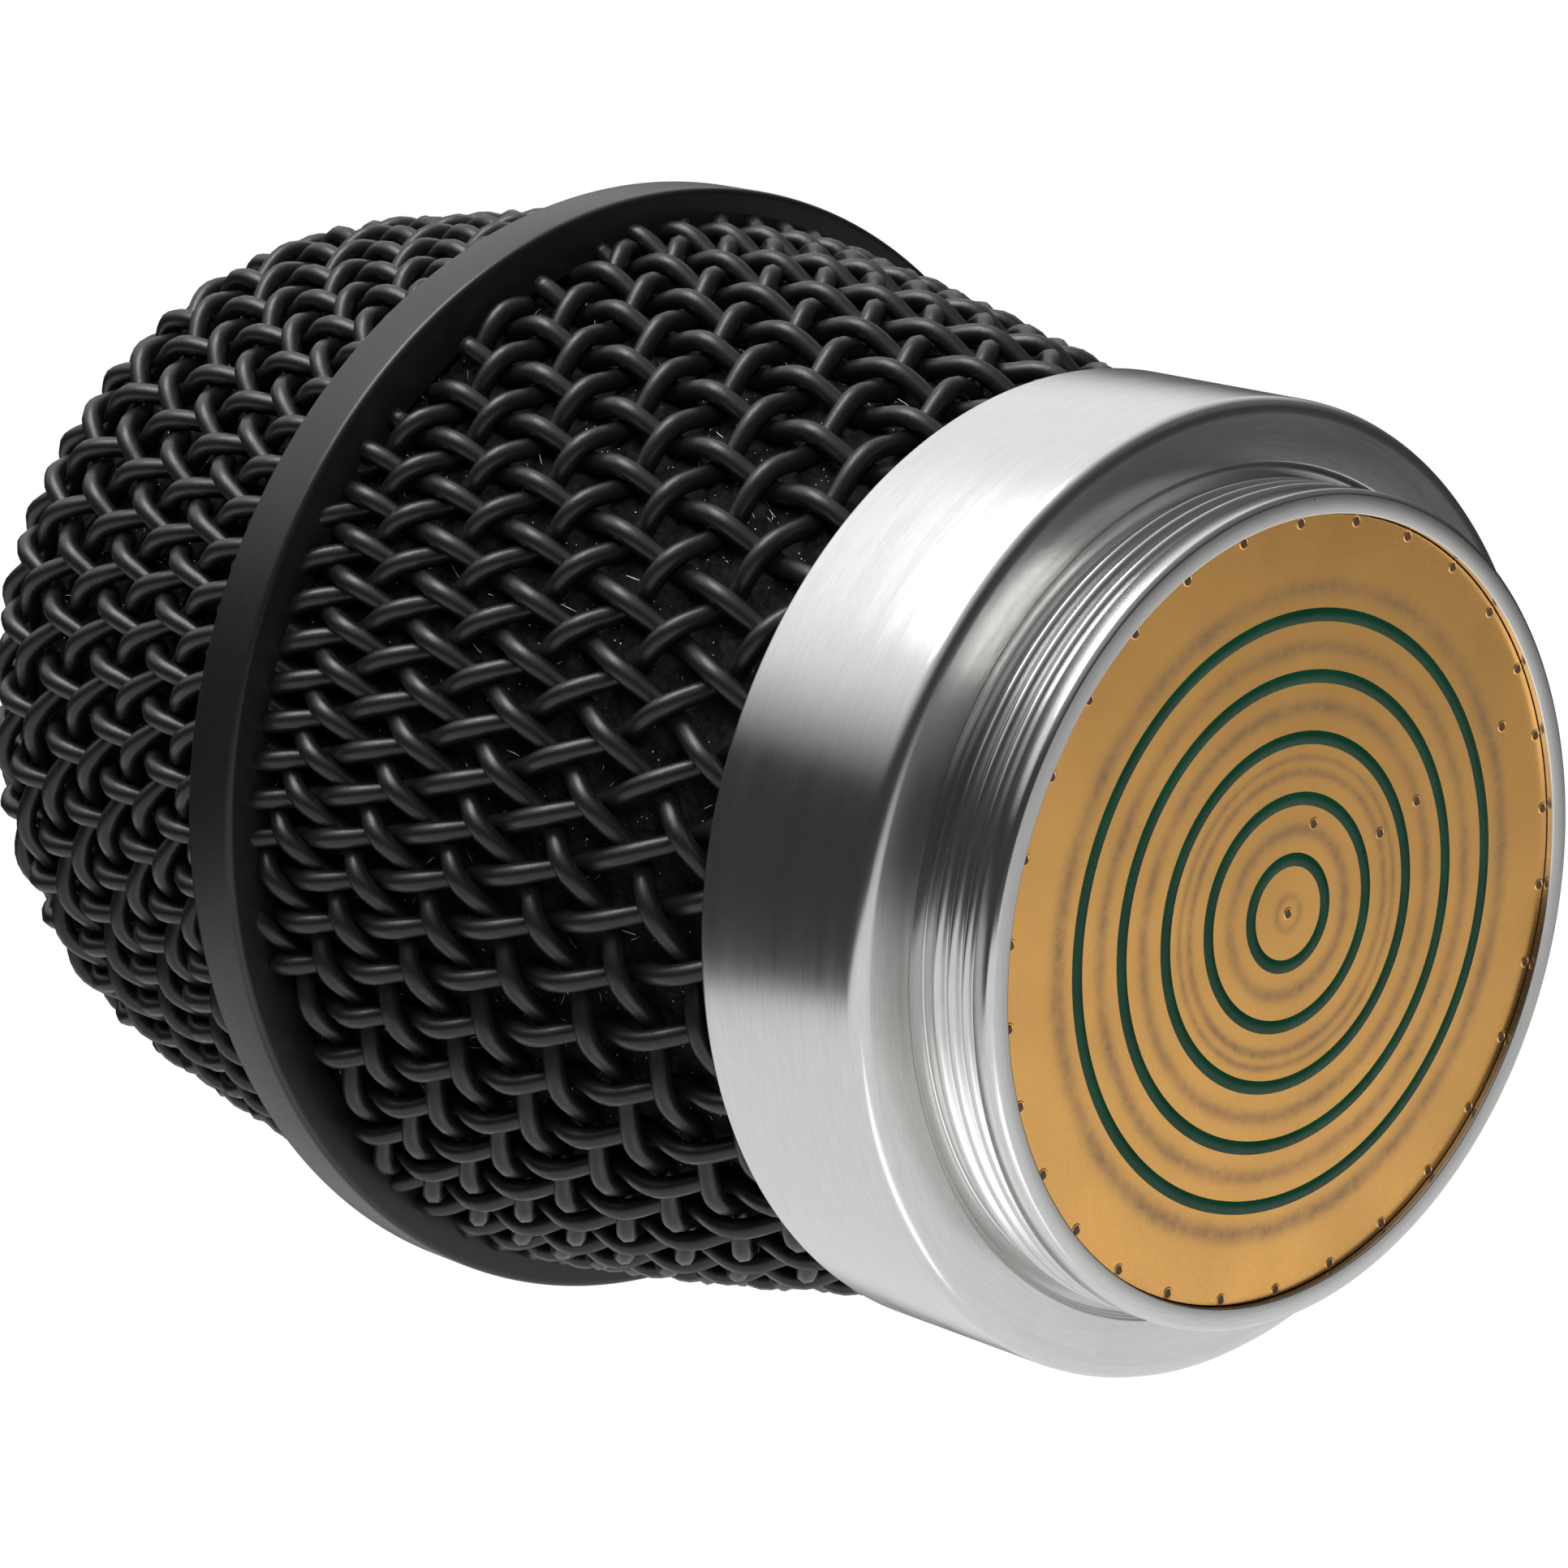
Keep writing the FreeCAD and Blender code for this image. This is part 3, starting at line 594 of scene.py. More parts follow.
@dataclass
class CrestLine:
    """Outside of a basket over the wire crests, from its flat middle outwards."""

    points: np.ndarray

    def __post_init__(self) -> None:
        """Drop repeated points, then measure the line and its outward normals."""
        apart = np.linalg.norm(np.diff(self.points, axis=0), axis=1) > 1e-6
        self.points = self.points[np.concatenate([[True], apart])]
        steps = np.diff(self.points, axis=0)
        self.length = np.concatenate([[0.0], np.cumsum(np.hypot(steps[:, 0], steps[:, 1]))])
        along = np.gradient(self.points, self.length, axis=0)
        along /= np.linalg.norm(along, axis=1, keepdims=True)
        normal = np.stack([-along[:, 1], along[:, 0]], axis=1)
        outward = np.sign(np.sum(normal[len(normal) // 2] * (1.0, 0.0)))
        self.normals = normal * outward

    def inside(self, depth: float) -> "CrestLine":
        """Return the line at a depth under this one."""
        return CrestLine(self.points - self.normals * depth)

    def at(self, length: np.ndarray) -> tuple[np.ndarray, np.ndarray]:
        """Return places and normals at lengths along the line."""
        def pick(values: np.ndarray) -> np.ndarray:
            return np.stack([np.interp(length, self.length, values[:, k]) for k in (0, 1)], axis=-1)
        normal = pick(self.normals)
        return pick(self.points), normal / np.linalg.norm(normal, axis=-1, keepdims=True)


class WireRun(Enum):
    """Which of the two sets of wires of the weave."""

    WARP = 0
    WEFT = 1


@dataclass(frozen=True)
class Cloth:
    """How flat woven cloth lies on a round basket, in wires counted from its middle.

    Round the basket the two sets of wires follow sums of cos(a), cos(3a) and cos(5a) of the azimuth, whose
    weights are given at lengths along the crest line.
    """

    length: np.ndarray
    first: np.ndarray
    third: np.ndarray
    fifth: np.ndarray
    nudge: float = 1e-4
    rounds: int = 24
    longest_turn: float = 0.15
    longest_step: float = 1.5

    def weights(self, length: np.ndarray) -> tuple[np.ndarray, ...]:
        """Return the three weights at lengths along the crest line."""
        return tuple(
            np.interp(length, self.length, values) for values in (self.first, self.third, self.fifth)
        )

    def count(self, azimuth: np.ndarray, length: np.ndarray) -> tuple[np.ndarray, np.ndarray]:
        """Return both wire counts at places on the basket."""
        first, third, fifth = self.weights(length)
        level = first * np.cos(azimuth) + third * np.cos(3.0 * azimuth) + fifth * np.cos(5.0 * azimuth)
        upright = first * np.sin(azimuth) - third * np.sin(3.0 * azimuth) + fifth * np.sin(5.0 * azimuth)
        return level, upright

    def place(self, level: np.ndarray, upright: np.ndarray) -> tuple[np.ndarray, np.ndarray]:
        """Find where two wire counts meet on the basket.

        Args:
            level: Counts of the wires that run round at the spine.
            upright: Counts of the wires that run up at the spine.

        Returns:
            Azimuth from the spine and length along the crest line.
        """
        azimuth = np.arctan2(upright, level)
        length = np.interp(np.hypot(level, upright), self.first, self.length)
        low, high, nudge = self.length[0], self.length[-1], self.nudge
        for _ in range(self.rounds):
            here = self.count(azimuth, length)
            turned_on = self.count(azimuth + nudge, length)
            further = self.count(azimuth, length + nudge)
            aa, ab = (turned_on[0] - here[0]) / nudge, (further[0] - here[0]) / nudge
            ba, bb = (turned_on[1] - here[1]) / nudge, (further[1] - here[1]) / nudge
            off_level, off_upright = level - here[0], upright - here[1]
            scale = aa * bb - ab * ba
            scale = np.where(np.abs(scale) < 1e-6, 1e-6, scale)
            turn = (off_level * bb - ab * off_upright) / scale
            step = (aa * off_upright - ba * off_level) / scale
            azimuth = azimuth + np.clip(turn, -self.longest_turn, self.longest_turn)
            length = np.clip(length + np.clip(step, -self.longest_step, self.longest_step), low, high)
        return azimuth, length


class WireRun(Enum):
    """Which of the two sets of wires of the weave."""

    WARP = 0
    WEFT = 1


@dataclass
class WovenBasket:
    """A basket pressed from plain woven wire cloth."""

    name: str
    node: str
    middle: CrestLine
    cloth: Cloth
    heights: Point
    spine: float
    offsets: Point
    wire: float = 0.42
    step: float = 0.15
    sides: int = 8
    margin: float = 2.5
    tolerance: float = 0.02

    def wire_points(self, run: WireRun, number: int) -> list[tuple[np.ndarray, np.ndarray]]:
        """Follow one wire over the basket.

        Args:
            run: Warp or weft.
            number: The wire's number, counted from the middle.

        Returns:
            The centre line and the cloth's normals of each stretch inside the basket.
        """
        most = float(self.cloth.first[-1]) + self.margin
        counts = np.arange(-most, most, self.step)
        level_offset, upright_offset = self.offsets
        if run is WireRun.WARP:
            level, upright = counts, np.full(len(counts), number + upright_offset)
            phase, sign = counts - level_offset, 1.0
        else:
            level, upright = np.full(len(counts), number + level_offset), counts
            phase, sign = counts - upright_offset, -1.0
        azimuth, length = self.cloth.place(level, upright)
        reached = self.cloth.count(azimuth, length)
        found = np.hypot(reached[0] - level, reached[1] - upright) < self.tolerance
        place, normal = self.middle.at(length)
        lift = sign * self.wire * np.cos(math.pi * phase) * (-1.0) ** number
        place = place + normal * lift[:, None]
        around = self.spine - azimuth
        spin = np.stack([np.cos(around), np.sin(around)], axis=1)
        centre = np.concatenate([spin * place[:, :1], place[:, 1:]], axis=1)
        outward = np.concatenate([spin * normal[:, :1], normal[:, 1:]], axis=1)
        inside = found & (place[:, 1] > self.heights[0]) & (place[:, 1] < self.heights[1])
        stretches = []
        edges = np.flatnonzero(np.diff(np.concatenate([[False], inside, [False]]).astype(int)))
        for first, last in zip(edges[::2], edges[1::2]):
            if last - first > 3:
                stretches.append((centre[first:last], outward[first:last]))
        return stretches

    def tube(
        self, centre: np.ndarray, outward: np.ndarray, first: int
    ) -> tuple[np.ndarray, list[list[int]]]:
        """Sweep the round wire along its centre line.

        Args:
            centre: Points of the centre line.
            outward: Normals of the cloth there.
            first: Number of the first new vertex.

        Returns:
            The vertices and the faces of the closed tube.
        """
        along = np.gradient(centre, axis=0)
        along /= np.linalg.norm(along, axis=1, keepdims=True)
        across = np.cross(along, outward)
        across /= np.linalg.norm(across, axis=1, keepdims=True)
        upward = np.cross(across, along)
        angles = 2.0 * np.pi * np.arange(self.sides) / self.sides
        ring = upward[:, None] * np.cos(angles)[
            None, :, None
        ] + across[:, None] * np.sin(angles)[None, :, None]
        vertices = (centre[:, None] + ring * self.wire).reshape(-1, 3)
        count, sides = len(centre), self.sides
        low = first + sides * np.arange(count - 1)[:, None] + np.arange(sides)[None]
        following = first + sides * np.arange(count - 1)[:, None] + (np.arange(sides) + 1)[None] % sides
        faces = np.stack([low, following, following + sides, low + sides], axis=-1).reshape(-1, 4).tolist()
        faces.append(list(range(first + sides - 1, first - 1, -1)))
        last = first + sides * (count - 1)
        faces.append(list(range(last, last + sides)))
        return vertices, faces

    def build(self, material: bpy.types.Material) -> None:
        """Make both sets of wires."""
        most = int(self.cloth.first[-1]) + 3
        for run in WireRun:
            vertices, faces, first = [], [], 0
            for number in range(-most, most + 1):
                for centre, outward in self.wire_points(run, number):
                    points, quads = self.tube(centre, outward, first)
                    vertices.append(points)
                    faces += quads
                    first += len(points)
            piece = mesh_object(f"{self.name}_{run.name.lower()}", np.concatenate(vertices), faces)
            finish_piece(piece, material, "black_wire", self.node)


@dataclass
class FoamLiner:
    """Foam behind the wires, with a rough skin and loose fibres."""

    name: str
    node: str
    crest: CrestLine
    heights: Point
    seed: int
    depth: float = 1.62
    thickness: float = 1.5
    roughness: float = 0.22
    fibres: int = 900
    fibre_length: Point = (0.15, 0.55)
    fibre_width: Point = (0.010, 0.022)
    fibre_corners: int = 3
    segments: int = 220
    step: float = 0.55

    def skin(self) -> np.ndarray:
        """Return radius and height along the outside of the liner."""
        line = self.crest.inside(self.depth)
        places, _ = line.at(np.arange(0.0, line.length[-1], self.step))
        keep = (places[:, 1] > self.heights[0]) & (places[:, 1] < self.heights[1])
        places[:, 0] = np.maximum(places[:, 0], 0.0)
        return places[keep]

    def build(self, material: bpy.types.Material, fibre_material: bpy.types.Material) -> None:
        """Make the liner and its fibres."""
        skin = self.skin()
        inner = skin - np.array([self.thickness, 0.0])
        if skin[:, 0].min() < 1.0:
            inner = skin * 0.92
        rng = np.random.default_rng(self.seed)
        outline = [tuple(p) for p in skin] + [tuple(p) for p in inner[::-1]]
        piece = turned(self.name, outline, self.segments)
        mesh = piece.data
        shift = rng.uniform(-self.roughness, self.roughness, len(mesh.vertices))
        outer = len(skin) * self.segments
        for vertex, amount in zip(mesh.vertices[:outer], shift):
            vertex.co += vertex.normal * amount * MM
        finish_piece(piece, material, "foam", self.node)
        self.lint(skin, rng, fibre_material)

    def lint(self, skin: np.ndarray, rng: np.random.Generator, material: bpy.types.Material) -> None:
        """Scatter short bent fibres over the skin.

        Args:
            skin: Radius and height along the liner's outside.
            rng: Seeded generator.
            material: Material of the fibres.
        """
        vertices, faces, corners = [], [], self.fibre_corners
        weights = np.abs(skin[:, 0]) / np.abs(skin[:, 0]).sum()
        for row in rng.choice(len(skin), self.fibres, p=weights):
            radius, height = skin[row]
            angle = rng.uniform(0.0, 2.0 * math.pi)
            out = Vector((math.cos(angle), math.sin(angle), 0.0))
            root = Vector((radius * out.x, radius * out.y, height)) - out * 0.1
            lean = Vector(rng.normal(size=3)).normalized() * 0.9 + out * 0.7
            curl = Vector(rng.normal(size=3)) * 0.12
            length = rng.uniform(*self.fibre_length)
            width = rng.uniform(*self.fibre_width)
            spine = [root + lean * length * t + curl * t * t for t in (0.0, 0.5, 1.0)]
            first = len(vertices)
            side = lean.orthogonal().normalized()
            other = lean.cross(side).normalized()
            for point, share in zip(spine, (1.0, 0.8, 0.3)):
                for corner in range(corners):
                    turn = 2.0 * math.pi * corner / corners
                    around = side * math.cos(turn) + other * math.sin(turn)
                    vertices.append(tuple(point + around * width * share))
            for ring in (first, first + corners):
                for corner in range(corners):
                    following = (corner + 1) % corners
                    above = ring + corners
                    faces.append([ring + corner, ring + following, above + following, above + corner])
            faces += [[first + 2, first + 1, first], [first + 6, first + 7, first + 8]]
        piece = mesh_object(self.name + "_lint", np.array(vertices), faces)
        finish_piece(piece, material, "foam")


@dataclass
class Baskets:
    """Both woven baskets with the band between them and the foam behind them."""

    rear_foot: Point = (17.45, 11.8)
    rear_top: Point = (21.75, 33.7)
    rear_bulge: float = 0.34
    socket: float = 9.4
    dome_tuck: float = 1.2
    rear_tuck: float = 0.8
    band: Point = (33.7, 36.3)
    band_radius: float = 22.7
    band_bore: float = 20.6
    band_edge: float = 0.28
    apex: float = 63.45
    shoulder: tuple[float, float, float] = (10.6, 51.02, 9.0)
    crown: Point = (26.9, 36.6)
    taper: float = 8.5
    wire: float = 0.42
    dome_spine: float = math.radians(-38.0)
    dome_offsets: Point = (-0.31, -0.41)
    dome_pitch: float = 2.69
    dome_third: float = 4.19e-05
    dome_third_fade: float = 5.02e-07
    dome_fifth: float = 1.36e-09
    rear_spine: float = math.radians(-48.0)
    rear_offsets: Point = (0.42, -0.095)
    rear_first: tuple[float, ...] = (6.48, 7.87, 0.51)
    rear_third: tuple[float, ...] = (0.02, 0.50, 0.66)
    rear_fifth: tuple[float, ...] = (-0.13, -0.15)

    def dome_line(self) -> CrestLine:
        """Crest line of the front basket, from the apex to the band."""
        crown_radius, crown_height = self.crown[0], self.apex - self.crown[0]
        place, height, radius = self.shoulder
        join = 90.0 - math.degrees(math.asin(place / (crown_radius - radius)))
        points = arc((0.0, crown_height), crown_radius, 90.0, join, 60)
        points += arc((place, height), radius, join, self.taper, 40)[1:]
        foot = points[-1]
        rim = self.band[0] + self.dome_tuck
        drop = foot[1] - rim
        slope = math.tan(math.radians(self.taper))
        points += [
            (foot[0] + drop * share * slope, foot[1] - drop * share)
            for share in np.linspace(0.0, 1.0, 61)[1:]
        ]
        return CrestLine(np.array(points))

    def rear_line(self) -> CrestLine:
        """Crest line of the rear basket, from inside the drum's socket to the band."""
        share = np.linspace(-0.12, 1.06, 120)
        radius = self.rear_foot[0] + (self.rear_top[0] - self.rear_foot[0]) * share
        radius = radius + 4.0 * self.rear_bulge * share * (1.0 - share)
        height = self.rear_foot[1] + (self.rear_top[1] - self.rear_foot[1]) * share
        return CrestLine(np.stack([np.maximum(radius, self.rear_foot[0] - 0.05), height], axis=1))

    def dome_cloth(self, middle: CrestLine) -> Cloth:
        """Cloth pressed over the dome, with its middle at the apex."""
        length = middle.length
        third = self.dome_third * length ** 3 - self.dome_third_fade * length ** 4
        return Cloth(length, length / self.dome_pitch, third, self.dome_fifth * length ** 5)

    def rear_cloth(self, middle: CrestLine) -> Cloth:
        """Cloth drawn over the rear taper, with its middle cut away at the collar."""
        height = middle.points[:, 1]
        share = (height - self.rear_foot[1]) / (self.rear_top[1] - self.rear_foot[1])
        rows = (self.rear_first, self.rear_third, self.rear_fifth)
        return Cloth(middle.length, *(np.polyval(row[::-1], share) for row in rows))

    def build(self, coat: bpy.types.Material, band: bpy.types.Material, foam: bpy.types.Material,
              fibre: bpy.types.Material) -> None:
        """Make every piece of the baskets."""
        dome, rear = self.dome_line(), self.rear_line()
        depth = 2.0 * self.wire
        middle = dome.inside(depth)
        heights = (self.band[0] + self.dome_tuck, self.apex)
        basket = WovenBasket("dome_wires", "front_grille", middle, self.dome_cloth(middle), heights,
                             self.dome_spine, self.dome_offsets, self.wire)
        basket.build(coat)
        middle = rear.inside(depth)
        heights = (self.socket, self.band[0] + self.rear_tuck)
        basket = WovenBasket("rear_wires", "rear_grille", middle, self.rear_cloth(middle), heights,
                             self.rear_spine, self.rear_offsets, self.wire)
        basket.build(coat)
        low, high = self.band
        outline = rounded([
            (self.band_bore, low + 0.3, 0.0), (self.band_bore, low, 0.15), (
                self.band_radius, low, self.band_edge
            ),
            (
                self.band_radius, high, self.band_edge
            ), (self.band_bore, high, 0.15), (self.band_bore, high - 0.3, 0.0),
        ])
        finish_piece(turned("band_ring", outline, 256), band, "black_band", "grille_band")
        FoamLiner(
            "dome_foam", "front_foam", dome, (self.band[0] + 1.3, self.apex), 11, fibres=1400
        ).build(foam, fibre)
        FoamLiner(
            "rear_liner", "rear_foam", rear, (10.4, self.band[0] + 1.0), 12, fibres=1400
        ).build(foam, fibre)


# The turned collar


@dataclass
class Collar:
    """Collar with its threaded nose, relief, shoulder, drum and sockets."""

    bore: float = 14.7
    nose: float = 15.6
    chamfer: float = 0.16
    lip: float = 0.85
    thread: Point = (0.85, 3.05)
    thread_pitch: float = 0.72
    thread_depth: float = 0.34
    undercut: float = 15.2
    relief: tuple[float, float] = (15.9, 3.7)
    shoulder: float = 3.5
    drum: float = 18.4
    drum_edge: float = 0.55
    drum_top: float = 11.8
    socket: float = 17.6
    ledge: float = 8.2
    step: float = 13.4
    board_back: float = 2.0
    segments: int = 288

    def outline(self) -> Line:
        """Closed outline of the collar without its thread."""
        shoulder = self.shoulder
        outer = rounded([
            (self.bore, 1.0, 0.0), (self.bore, 0.0, 0.06), (self.nose - self.chamfer, 0.0, 0.05),
            (self.nose, self.chamfer, 0.06), (self.nose, self.lip, 0.0),
        ], 3)
        rows = np.arange(self.thread[0] + 0.04, self.thread[1], 0.04)
        outer += [(self.nose, float(height)) for height in rows]
        outer += rounded([
            (self.undercut, 3.2, 0.0), (self.undercut, self.relief[1], 0.15), (
                self.relief[0], self.relief[1], 0.10
            ),
            (self.relief[0] + 0.1, shoulder, 0.12), (self.drum - 0.9, shoulder + 0.10, 0.3), (
                self.drum, shoulder + 0.16, self.drum_edge
            ),
            (self.drum, self.drum_top, 0.20), (
                self.socket, self.drum_top, 0.12
            ), (self.socket, self.ledge, 0.0),
            (self.step, self.ledge, 0.1), (
                self.step, self.board_back, 0.0
            ), (self.bore, self.board_back, 0.0),
        ], 6)
        return outer

    def shape(self, angle: float, points: np.ndarray) -> np.ndarray:
        """Cut the thread's helix into the nose at one angle.

        Args:
            angle: Angle round the axis.
            points: Outline points.

        Returns:
            The points with the thread's grooves.
        """
        low, high = self.thread
        radius, height = points[:, 0].copy(), points[:, 1]
        zone = (height > low) & (height < high) & (radius > self.undercut + 0.1)
        phase = (height - low) / self.thread_pitch - angle / (2.0 * math.pi)
        groove = 0.5 - 0.5 * np.cos(2.0 * math.pi * phase)
        fade = np.clip((height - low) / 0.25, 0.0, 1.0)
        radius[zone] -= (self.thread_depth * groove ** 1.3 * fade)[zone]
        return np.stack([radius, height], axis=1)

    def build(self, metal: bpy.types.Material) -> None:
        """Make the collar."""
        piece = turned("turned_collar", self.outline(), self.segments, shape=self.shape)
        finish_piece(piece, metal, "satin_metal", "collar")


# The contact board's small parts


@dataclass
class BoardDetails:
    """Green mask rings over the edges of the gold and the plated holes of the contact board."""

    face: float = 0.3
    first_ring: float = 2.0
    ring_pitch: float = 2.25
    rings: int = 5
    ring_width: float = 0.52
    proud: float = 0.012
    sunk: float = 0.01
    bevel: float = 0.015
    rim_proud: Point = (0.012, 0.010)
    rim_slope: float = 0.02
    bore_proud: float = 0.006
    rim_holes: int = 30
    rim_radius: float = 14.43
    rim_start: float = 3.6
    inner_holes: tuple[Point, ...] = ((0.0, 0.0), (3.4, 1.0), (5.4, 46.0), (7.6, 46.0), (12.8, 46.0))
    hole_radius: float = 0.16
    rim_width: float = 0.08
    steps: int = 16

    def holes(self) -> list[Point]:
        """Place of each hole on the board."""
        spots = [
            (self.rim_radius, self.rim_start + 360.0 * n / self.rim_holes) for n in range(self.rim_holes)
        ]
        spots += list(self.inner_holes)
        return [(r * math.cos(math.radians(a)), r * math.sin(math.radians(a))) for r, a in spots]

    def lathe(
        self, name: str, outline: Sequence[Point], spots: Sequence[Point], steps: int
    ) -> bpy.types.Object:
        """Turn one small outline about several upright axes.

        Args:
            name: Name of the piece.
            outline: Radius and height of each point of an open outline.
            spots: Where each axis stands.
            steps: Number of steps round each axis.

        Returns:
            The new object.
        """
        angles = 2.0 * np.pi * np.arange(steps) / steps
        vertices, faces = [], []
        for x, y in spots:
            first = len(vertices)
            for radius, height in outline:
                vertices += [(x + radius * math.cos(a), y + radius * math.sin(a), height) for a in angles]
            for row in range(len(outline) - 1):
                low = first + row * steps
                following = [(n + 1) % steps for n in range(steps)]
                faces += [
                    [low + n, low + k, low + steps + k, low + steps + n] for n, k in enumerate(following)
                ]
        return mesh_object(name, np.array(vertices), faces)

    def build(self, gold: bpy.types.Material, green: bpy.types.Material, dark: bpy.types.Material) -> None:
        """Make the rings and the holes."""
        low, spots = self.face - self.proud, self.holes()
        half = self.ring_width / 2.0
        for number in range(self.rings):
            middle = self.first_ring + self.ring_pitch * number
            inner, outer, sunk = middle - half, middle + half, self.face + self.sunk
            outline = [(inner, sunk), (inner + self.bevel, low), (outer - self.bevel, low), (outer, sunk)]
            finish_piece(
                self.lathe(f"mask_ring_{number + 1}", outline, [(0.0, 0.0)], 192), green, "green_laminate"
            )
        outer = self.hole_radius + self.rim_width
        inner, crest = self.hole_radius, (low - self.rim_proud[0], low - self.rim_proud[1])
        rim = [
            (inner, self.face),
            (inner + self.bevel, crest[0]),
            (outer - self.rim_slope, crest[1]),
            (outer, self.face),
        ]
        finish_piece(self.lathe("hole_rims", rim, spots, self.steps), gold, "contact_gold")
        disc = [(0.001, self.face - self.bore_proud), (inner, self.face - self.bore_proud)]
        finish_piece(self.lathe("hole_bores", disc, spots, self.steps), dark, "green_laminate")


# Studio


@dataclass
class Studio:
    """Camera, lights, backdrop and floor."""

    focal_pixels: float = 6612.0
    frame_pixels: float = 1932.0
    board_centre: tuple[float, float, float] = (18.295, 4.695, 194.778)
    board_facing: tuple[float, float, float] = (0.68124, 0.18744, -0.70766)
    board_recess: float = 0.3
    camera_azimuth: float = 0.0
    room: float = 0.045
    ceiling: float = 1.05
    ceiling_near_fade: tuple[float, ...] = (-0.2, 0.8, 1.0, 0.4)
    ceiling_right_fade: tuple[float, ...] = (0.05, 0.6, 1.0, 0.1)
    right_edge: Point = (0.2, 0.85)
    ceiling_edge: Point = (0.31, 0.56)
    table: float = 0.85
    table_drop: Point = (0.30, 0.135)
    table_fade: float = 0.17
    table_softness: float = 0.04
    floor_half: float = 900.0
    floor_height: float = -0.05

    def axes(self) -> np.ndarray:
        """Rows are the part's axes as the camera sees them: right, down and away."""
        up = -np.array(self.board_facing)
        up /= np.linalg.norm(up)
        level = self.origin() - up * float(self.origin() @ up)
        forward = level / np.linalg.norm(level)
        turn = math.radians(self.camera_azimuth)
        sideways = np.cross(forward, up)
        ahead = forward * math.cos(turn) + sideways * math.sin(turn)
        return np.stack([np.cross(ahead, up), ahead, up])

    def origin(self) -> np.ndarray:
        """Centre of the nose's end face as the camera sees it."""
        return np.array(self.board_centre) + self.board_recess * np.array(self.board_facing)

    def to_part(self, direction: Sequence[float]) -> Vector:
        """Turn a direction given as right, up and towards the camera into the part's frame."""
        right, up, near = direction
        return Vector(self.axes() @ np.array([right, -up, -near]))

    def camera(self) -> None:
        """Make the camera at the photograph's place."""
        data = bpy.data.cameras.new("photo_camera")
        data.sensor_width = 36.0
        data.lens = self.focal_pixels * data.sensor_width / self.frame_pixels
        data.clip_start, data.clip_end = 0.01, 20.0
        camera = bpy.data.objects.new("photo_camera", data)
        axes = self.axes()
        turn = Matrix([(row[0], -row[1], -row[2]) for row in axes])
        camera.matrix_world = Matrix.Translation(Vector(-(axes @ self.origin())) * MM) @ turn.to_4x4()
        bpy.context.scene.collection.objects.link(camera)
        bpy.context.scene.camera = camera
        log.info("camera at %s", [round(v, 4) for v in camera.location])

    def softbox(self, name: str, direction: Sequence[float], distance: float, width: float, height: float,
                power: float, seen: bool = True) -> None:
        """Hang a softbox round the middle of the part.

        Args:
            name: Name of the light.
            direction: Right, up and towards the camera.
            distance: Metres from the part.
            width: Width of the box in metres.
            height: Height of the box in metres.
            power: Watts.
            seen: Whether the box shows in reflections.
        """
        data = bpy.data.lights.new(name, "AREA")
        data.shape = "RECTANGLE"
        data.size, data.size_y, data.energy = width, height, power
        light = bpy.data.objects.new(name, data)
        middle = Vector((0.0, 0.0, 0.03))
        light.location = middle + self.to_part(direction).normalized() * distance
        light.rotation_mode = "QUATERNION"
        light.rotation_quaternion = (middle - light.location).to_track_quat("-Z", "Y")
        light.visible_camera = False
        light.visible_glossy = seen
        bpy.context.scene.collection.objects.link(light)

    def world(self) -> None:
        """Surroundings: white to the camera; as a light, a pale table, a bright ceiling and a dark room."""
        world = bpy.data.worlds.new("studio")
        bpy.context.scene.world = world
        world.use_nodes = True
        shader = Shader(world.node_tree)
        facing = shader.add("ShaderNodeTexCoord").outputs["Generated"]
        shares = {}
        for label, way in (("right", (1.0, 0.0, 0.0)), ("up", (0.0, 1.0, 0.0)), ("near", (0.0, 0.0, 1.0))):
            values = {0: facing, 1: tuple(self.to_part(way))}
            shares[label] = shader.add(
                "ShaderNodeVectorMath", values, operation="DOT_PRODUCT"
            ).outputs["Value"]
        ceiling = shader.spread(shares["up"], *self.ceiling_edge, 0.0, self.ceiling)
        ceiling = shader.maths("MULTIPLY", ceiling, shader.spread(shares["near"], *self.ceiling_near_fade))
        ceiling = shader.maths(
            "MULTIPLY", ceiling, shader.spread(shares["right"], *self.ceiling_right_fade)
        )
        rightward = shader.spread(shares["right"], *self.right_edge)
        horizon = shader.spread(rightward, 0.0, 1.0, *self.table_drop)
        below = shader.maths("SUBTRACT", shader.maths("MULTIPLY", shares["up"], -1.0), horizon)
        soft = shader.maths(
            "ADD", shader.maths("MULTIPLY", rightward, self.table_fade), self.table_softness
        )
        share = shader.add("ShaderNodeClamp", {"Value": shader.maths("DIVIDE", below, soft)}).outputs[0]
        table = shader.maths("MULTIPLY", share, self.table)
        total = shader.maths("ADD", shader.maths("ADD", ceiling, table), self.room)
        lighting = shader.add("ShaderNodeBackground", {"Color": (1.0, 1.0, 1.0), "Strength": total})
        seen = shader.add("ShaderNodeBackground", {"Color": (1.0, 1.0, 1.0), "Strength": 1.0})
        path = shader.add("ShaderNodeLightPath")
        mixed = shader.add(
            "ShaderNodeMixShader",
            {0: path.outputs["Is Camera Ray"], 1: lighting.outputs[0], 2: seen.outputs[0]},
        )
        shader.add("ShaderNodeOutputWorld", {"Surface": mixed.outputs[0]})

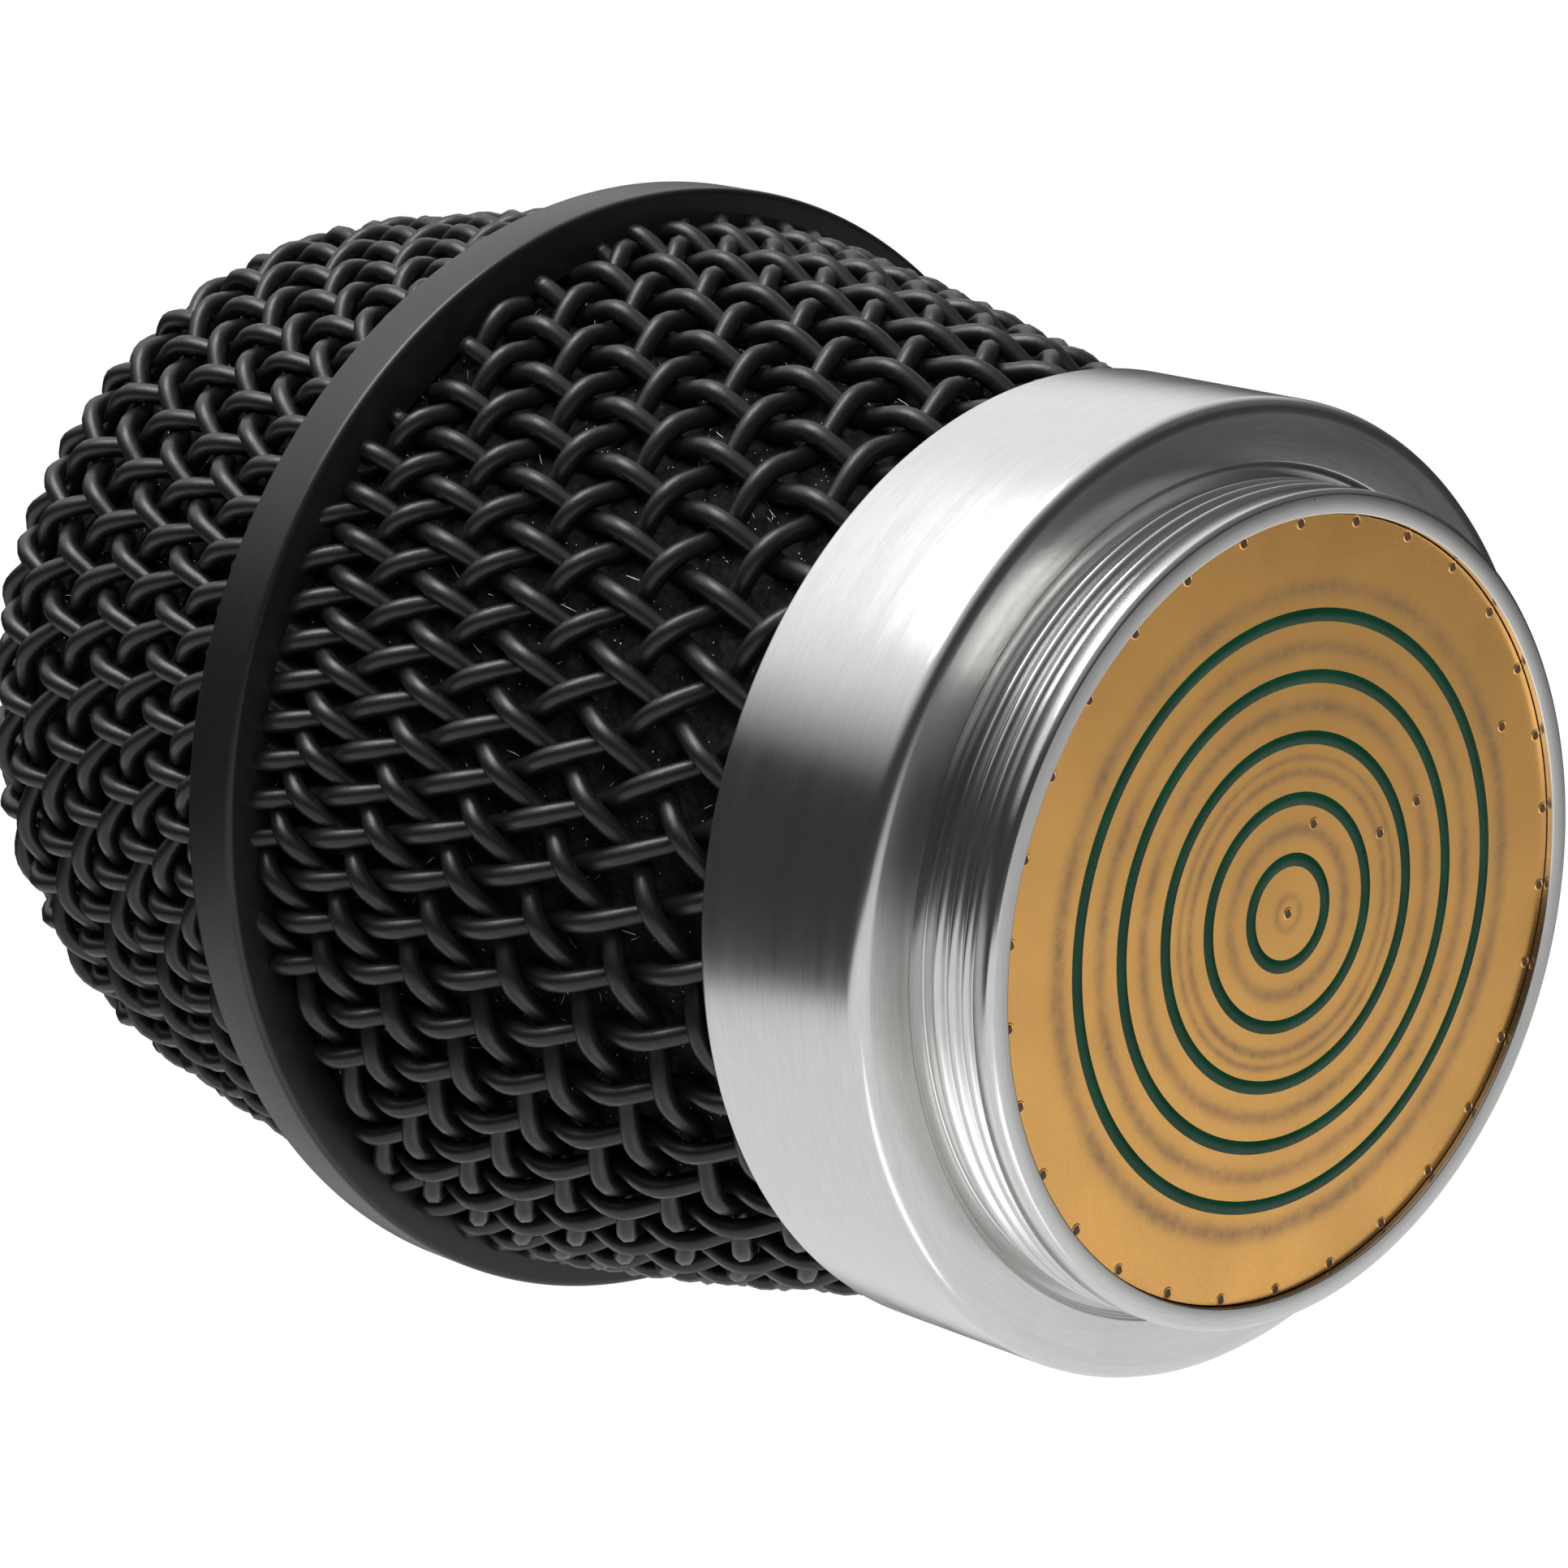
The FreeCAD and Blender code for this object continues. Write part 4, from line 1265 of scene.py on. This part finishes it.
    def floor(self) -> None:
        """Pale floor, clear from below so that the photograph's low camera sees the contact face."""
        material, shader, surface = new_material("floor_paper")
        surface.inputs["Base Color"].default_value = (0.86, 0.86, 0.86, 1.0)
        surface.inputs["Roughness"].default_value = 0.9
        clear = shader.add("ShaderNodeBsdfTransparent")
        back = shader.add("ShaderNodeNewGeometry").outputs["Backfacing"]
        mixed = shader.add("ShaderNodeMixShader", {0: back, 1: surface.outputs[0], 2: clear.outputs[0]})
        output = next(node for node in shader.tree.nodes if node.type == "OUTPUT_MATERIAL")
        shader.feed(output.inputs["Surface"], mixed.outputs[0])
        size, low = self.floor_half, self.floor_height
        corners = np.array([(-size, -size, low), (size, -size, low), (size, size, low), (-size, size, low)])
        floor = mesh_object("floor", corners, [(0, 1, 2, 3)])
        floor.data.materials.append(material)
        floor.visible_shadow = floor.visible_glossy = floor.visible_diffuse = False

    def build(self) -> None:
        """Make the studio."""
        self.camera()
        self.world()
        self.floor()
        self.softbox("key", (-0.35, 0.85, 0.20), 0.60, 0.40, 0.28, 3.0)
        self.softbox("fill", (0.3, -0.9, 0.5), 0.70, 0.5, 0.3, 0.4)
        self.softbox("lint_light", (0.2, 0.5, 1.0), 0.80, 0.4, 0.4, 6.0, seen=False)
        bpy.context.scene.view_settings.view_transform = "Standard"


def dress_nodes(effects: Effects) -> None:
    """Give the carried-over pieces their finishes.

    Args:
        effects: Shared shader groups.
    """
    gold = PlatedGold().make(effects)
    green = Laminate("contact_laminate").make(effects)
    board = Laminate("preamp_laminate", (0.006, 0.055, 0.020), 0.38).make(effects)
    carrier = Coat("moulded_plastic", (0.015, 0.015, 0.016), 0.5, depth=0.00002).make(effects)
    steel = TurnedMetal("screw_metal", (0.45, 0.45, 0.46), 0.3).make(effects)
    rubber = Coat("mount_rubber_skin", (0.010, 0.010, 0.010), 0.75, depth=0.00003).make(effects)
    brass = TurnedMetal("brass_finish", (0.80, 0.58, 0.26), 0.28).make(effects)
    film = TurnedMetal("gold_film", (0.90, 0.66, 0.25), 0.12, line_depth=0.000001).make(effects)
    wire = TurnedMetal("tinned_wire", (0.62, 0.60, 0.58), 0.35).make(effects)
    red = Coat("capacitor_case", (0.35, 0.03, 0.02), 0.35, worn=(0.45, 0.2, 0.15)).make(effects)
    black = Coat("component_case", (0.012, 0.012, 0.013), 0.45).make(effects)
    chosen = {
        gold: ["centre_contact"] + [f"contact_ring_{n}" for n in range(1, 6)],
        green: ["contact_board"],
        board: ["preamp_board"],
        carrier: ["capsule_carrier", "insulator_ring", "spacer_ring"],
        steel: ["carrier_screws"],
        rubber: ["shock_mount"],
        brass: ["capsule_housing", "backplate", "tension_ring", "front_grid"],
        film: ["diaphragm"],
        wire: ["signal_lead", "ground_lead", "header_pins"],
        red: ["coupling_capacitor"],
        black: ["pin_header", "transistor", "gate_resistor", "load_resistor"],
    }
    for material, names in chosen.items():
        for name in names:
            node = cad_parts[name]
            node.data.materials.clear()
            node.data.materials.append(material)
            log.info("%s: %s", name, material.name)


def main() -> None:
    """Build every piece in order."""
    logging.basicConfig(level=logging.INFO, format="%(message)s")
    effects = Effects()
    Studio().build()
    dress_nodes(effects)
    Collar().build(TurnedMetal("collar_metal").make(effects))
    hole = Coat("hole_shade", (0.05, 0.02, 0.008), 0.6).make(effects)
    BoardDetails().build(
        PlatedGold("hole_rim_gold").make(effects), Laminate("mask_green").make(effects), hole
    )
    coat = Coat(
        "wire_coat", (0.0030, 0.0030, 0.0033), 0.37, (0.010, 0.010, 0.0105), 0.09, 0.000012, 0.3
    ).make(effects)
    band = Coat(
        "band_coat", (0.0035, 0.0035, 0.0038), 0.36, (0.03, 0.03, 0.03), 0.08, 0.000008, 0.2
    ).make(effects)
    foam = OpenFoam().make(effects)
    fibre = Coat("lint_fibre", (0.60, 0.60, 0.62), 0.8, worn=(0.8, 0.8, 0.8)).make(effects)
    Baskets().build(coat, band, foam, fibre)


if __name__ == "__main__":
    main()
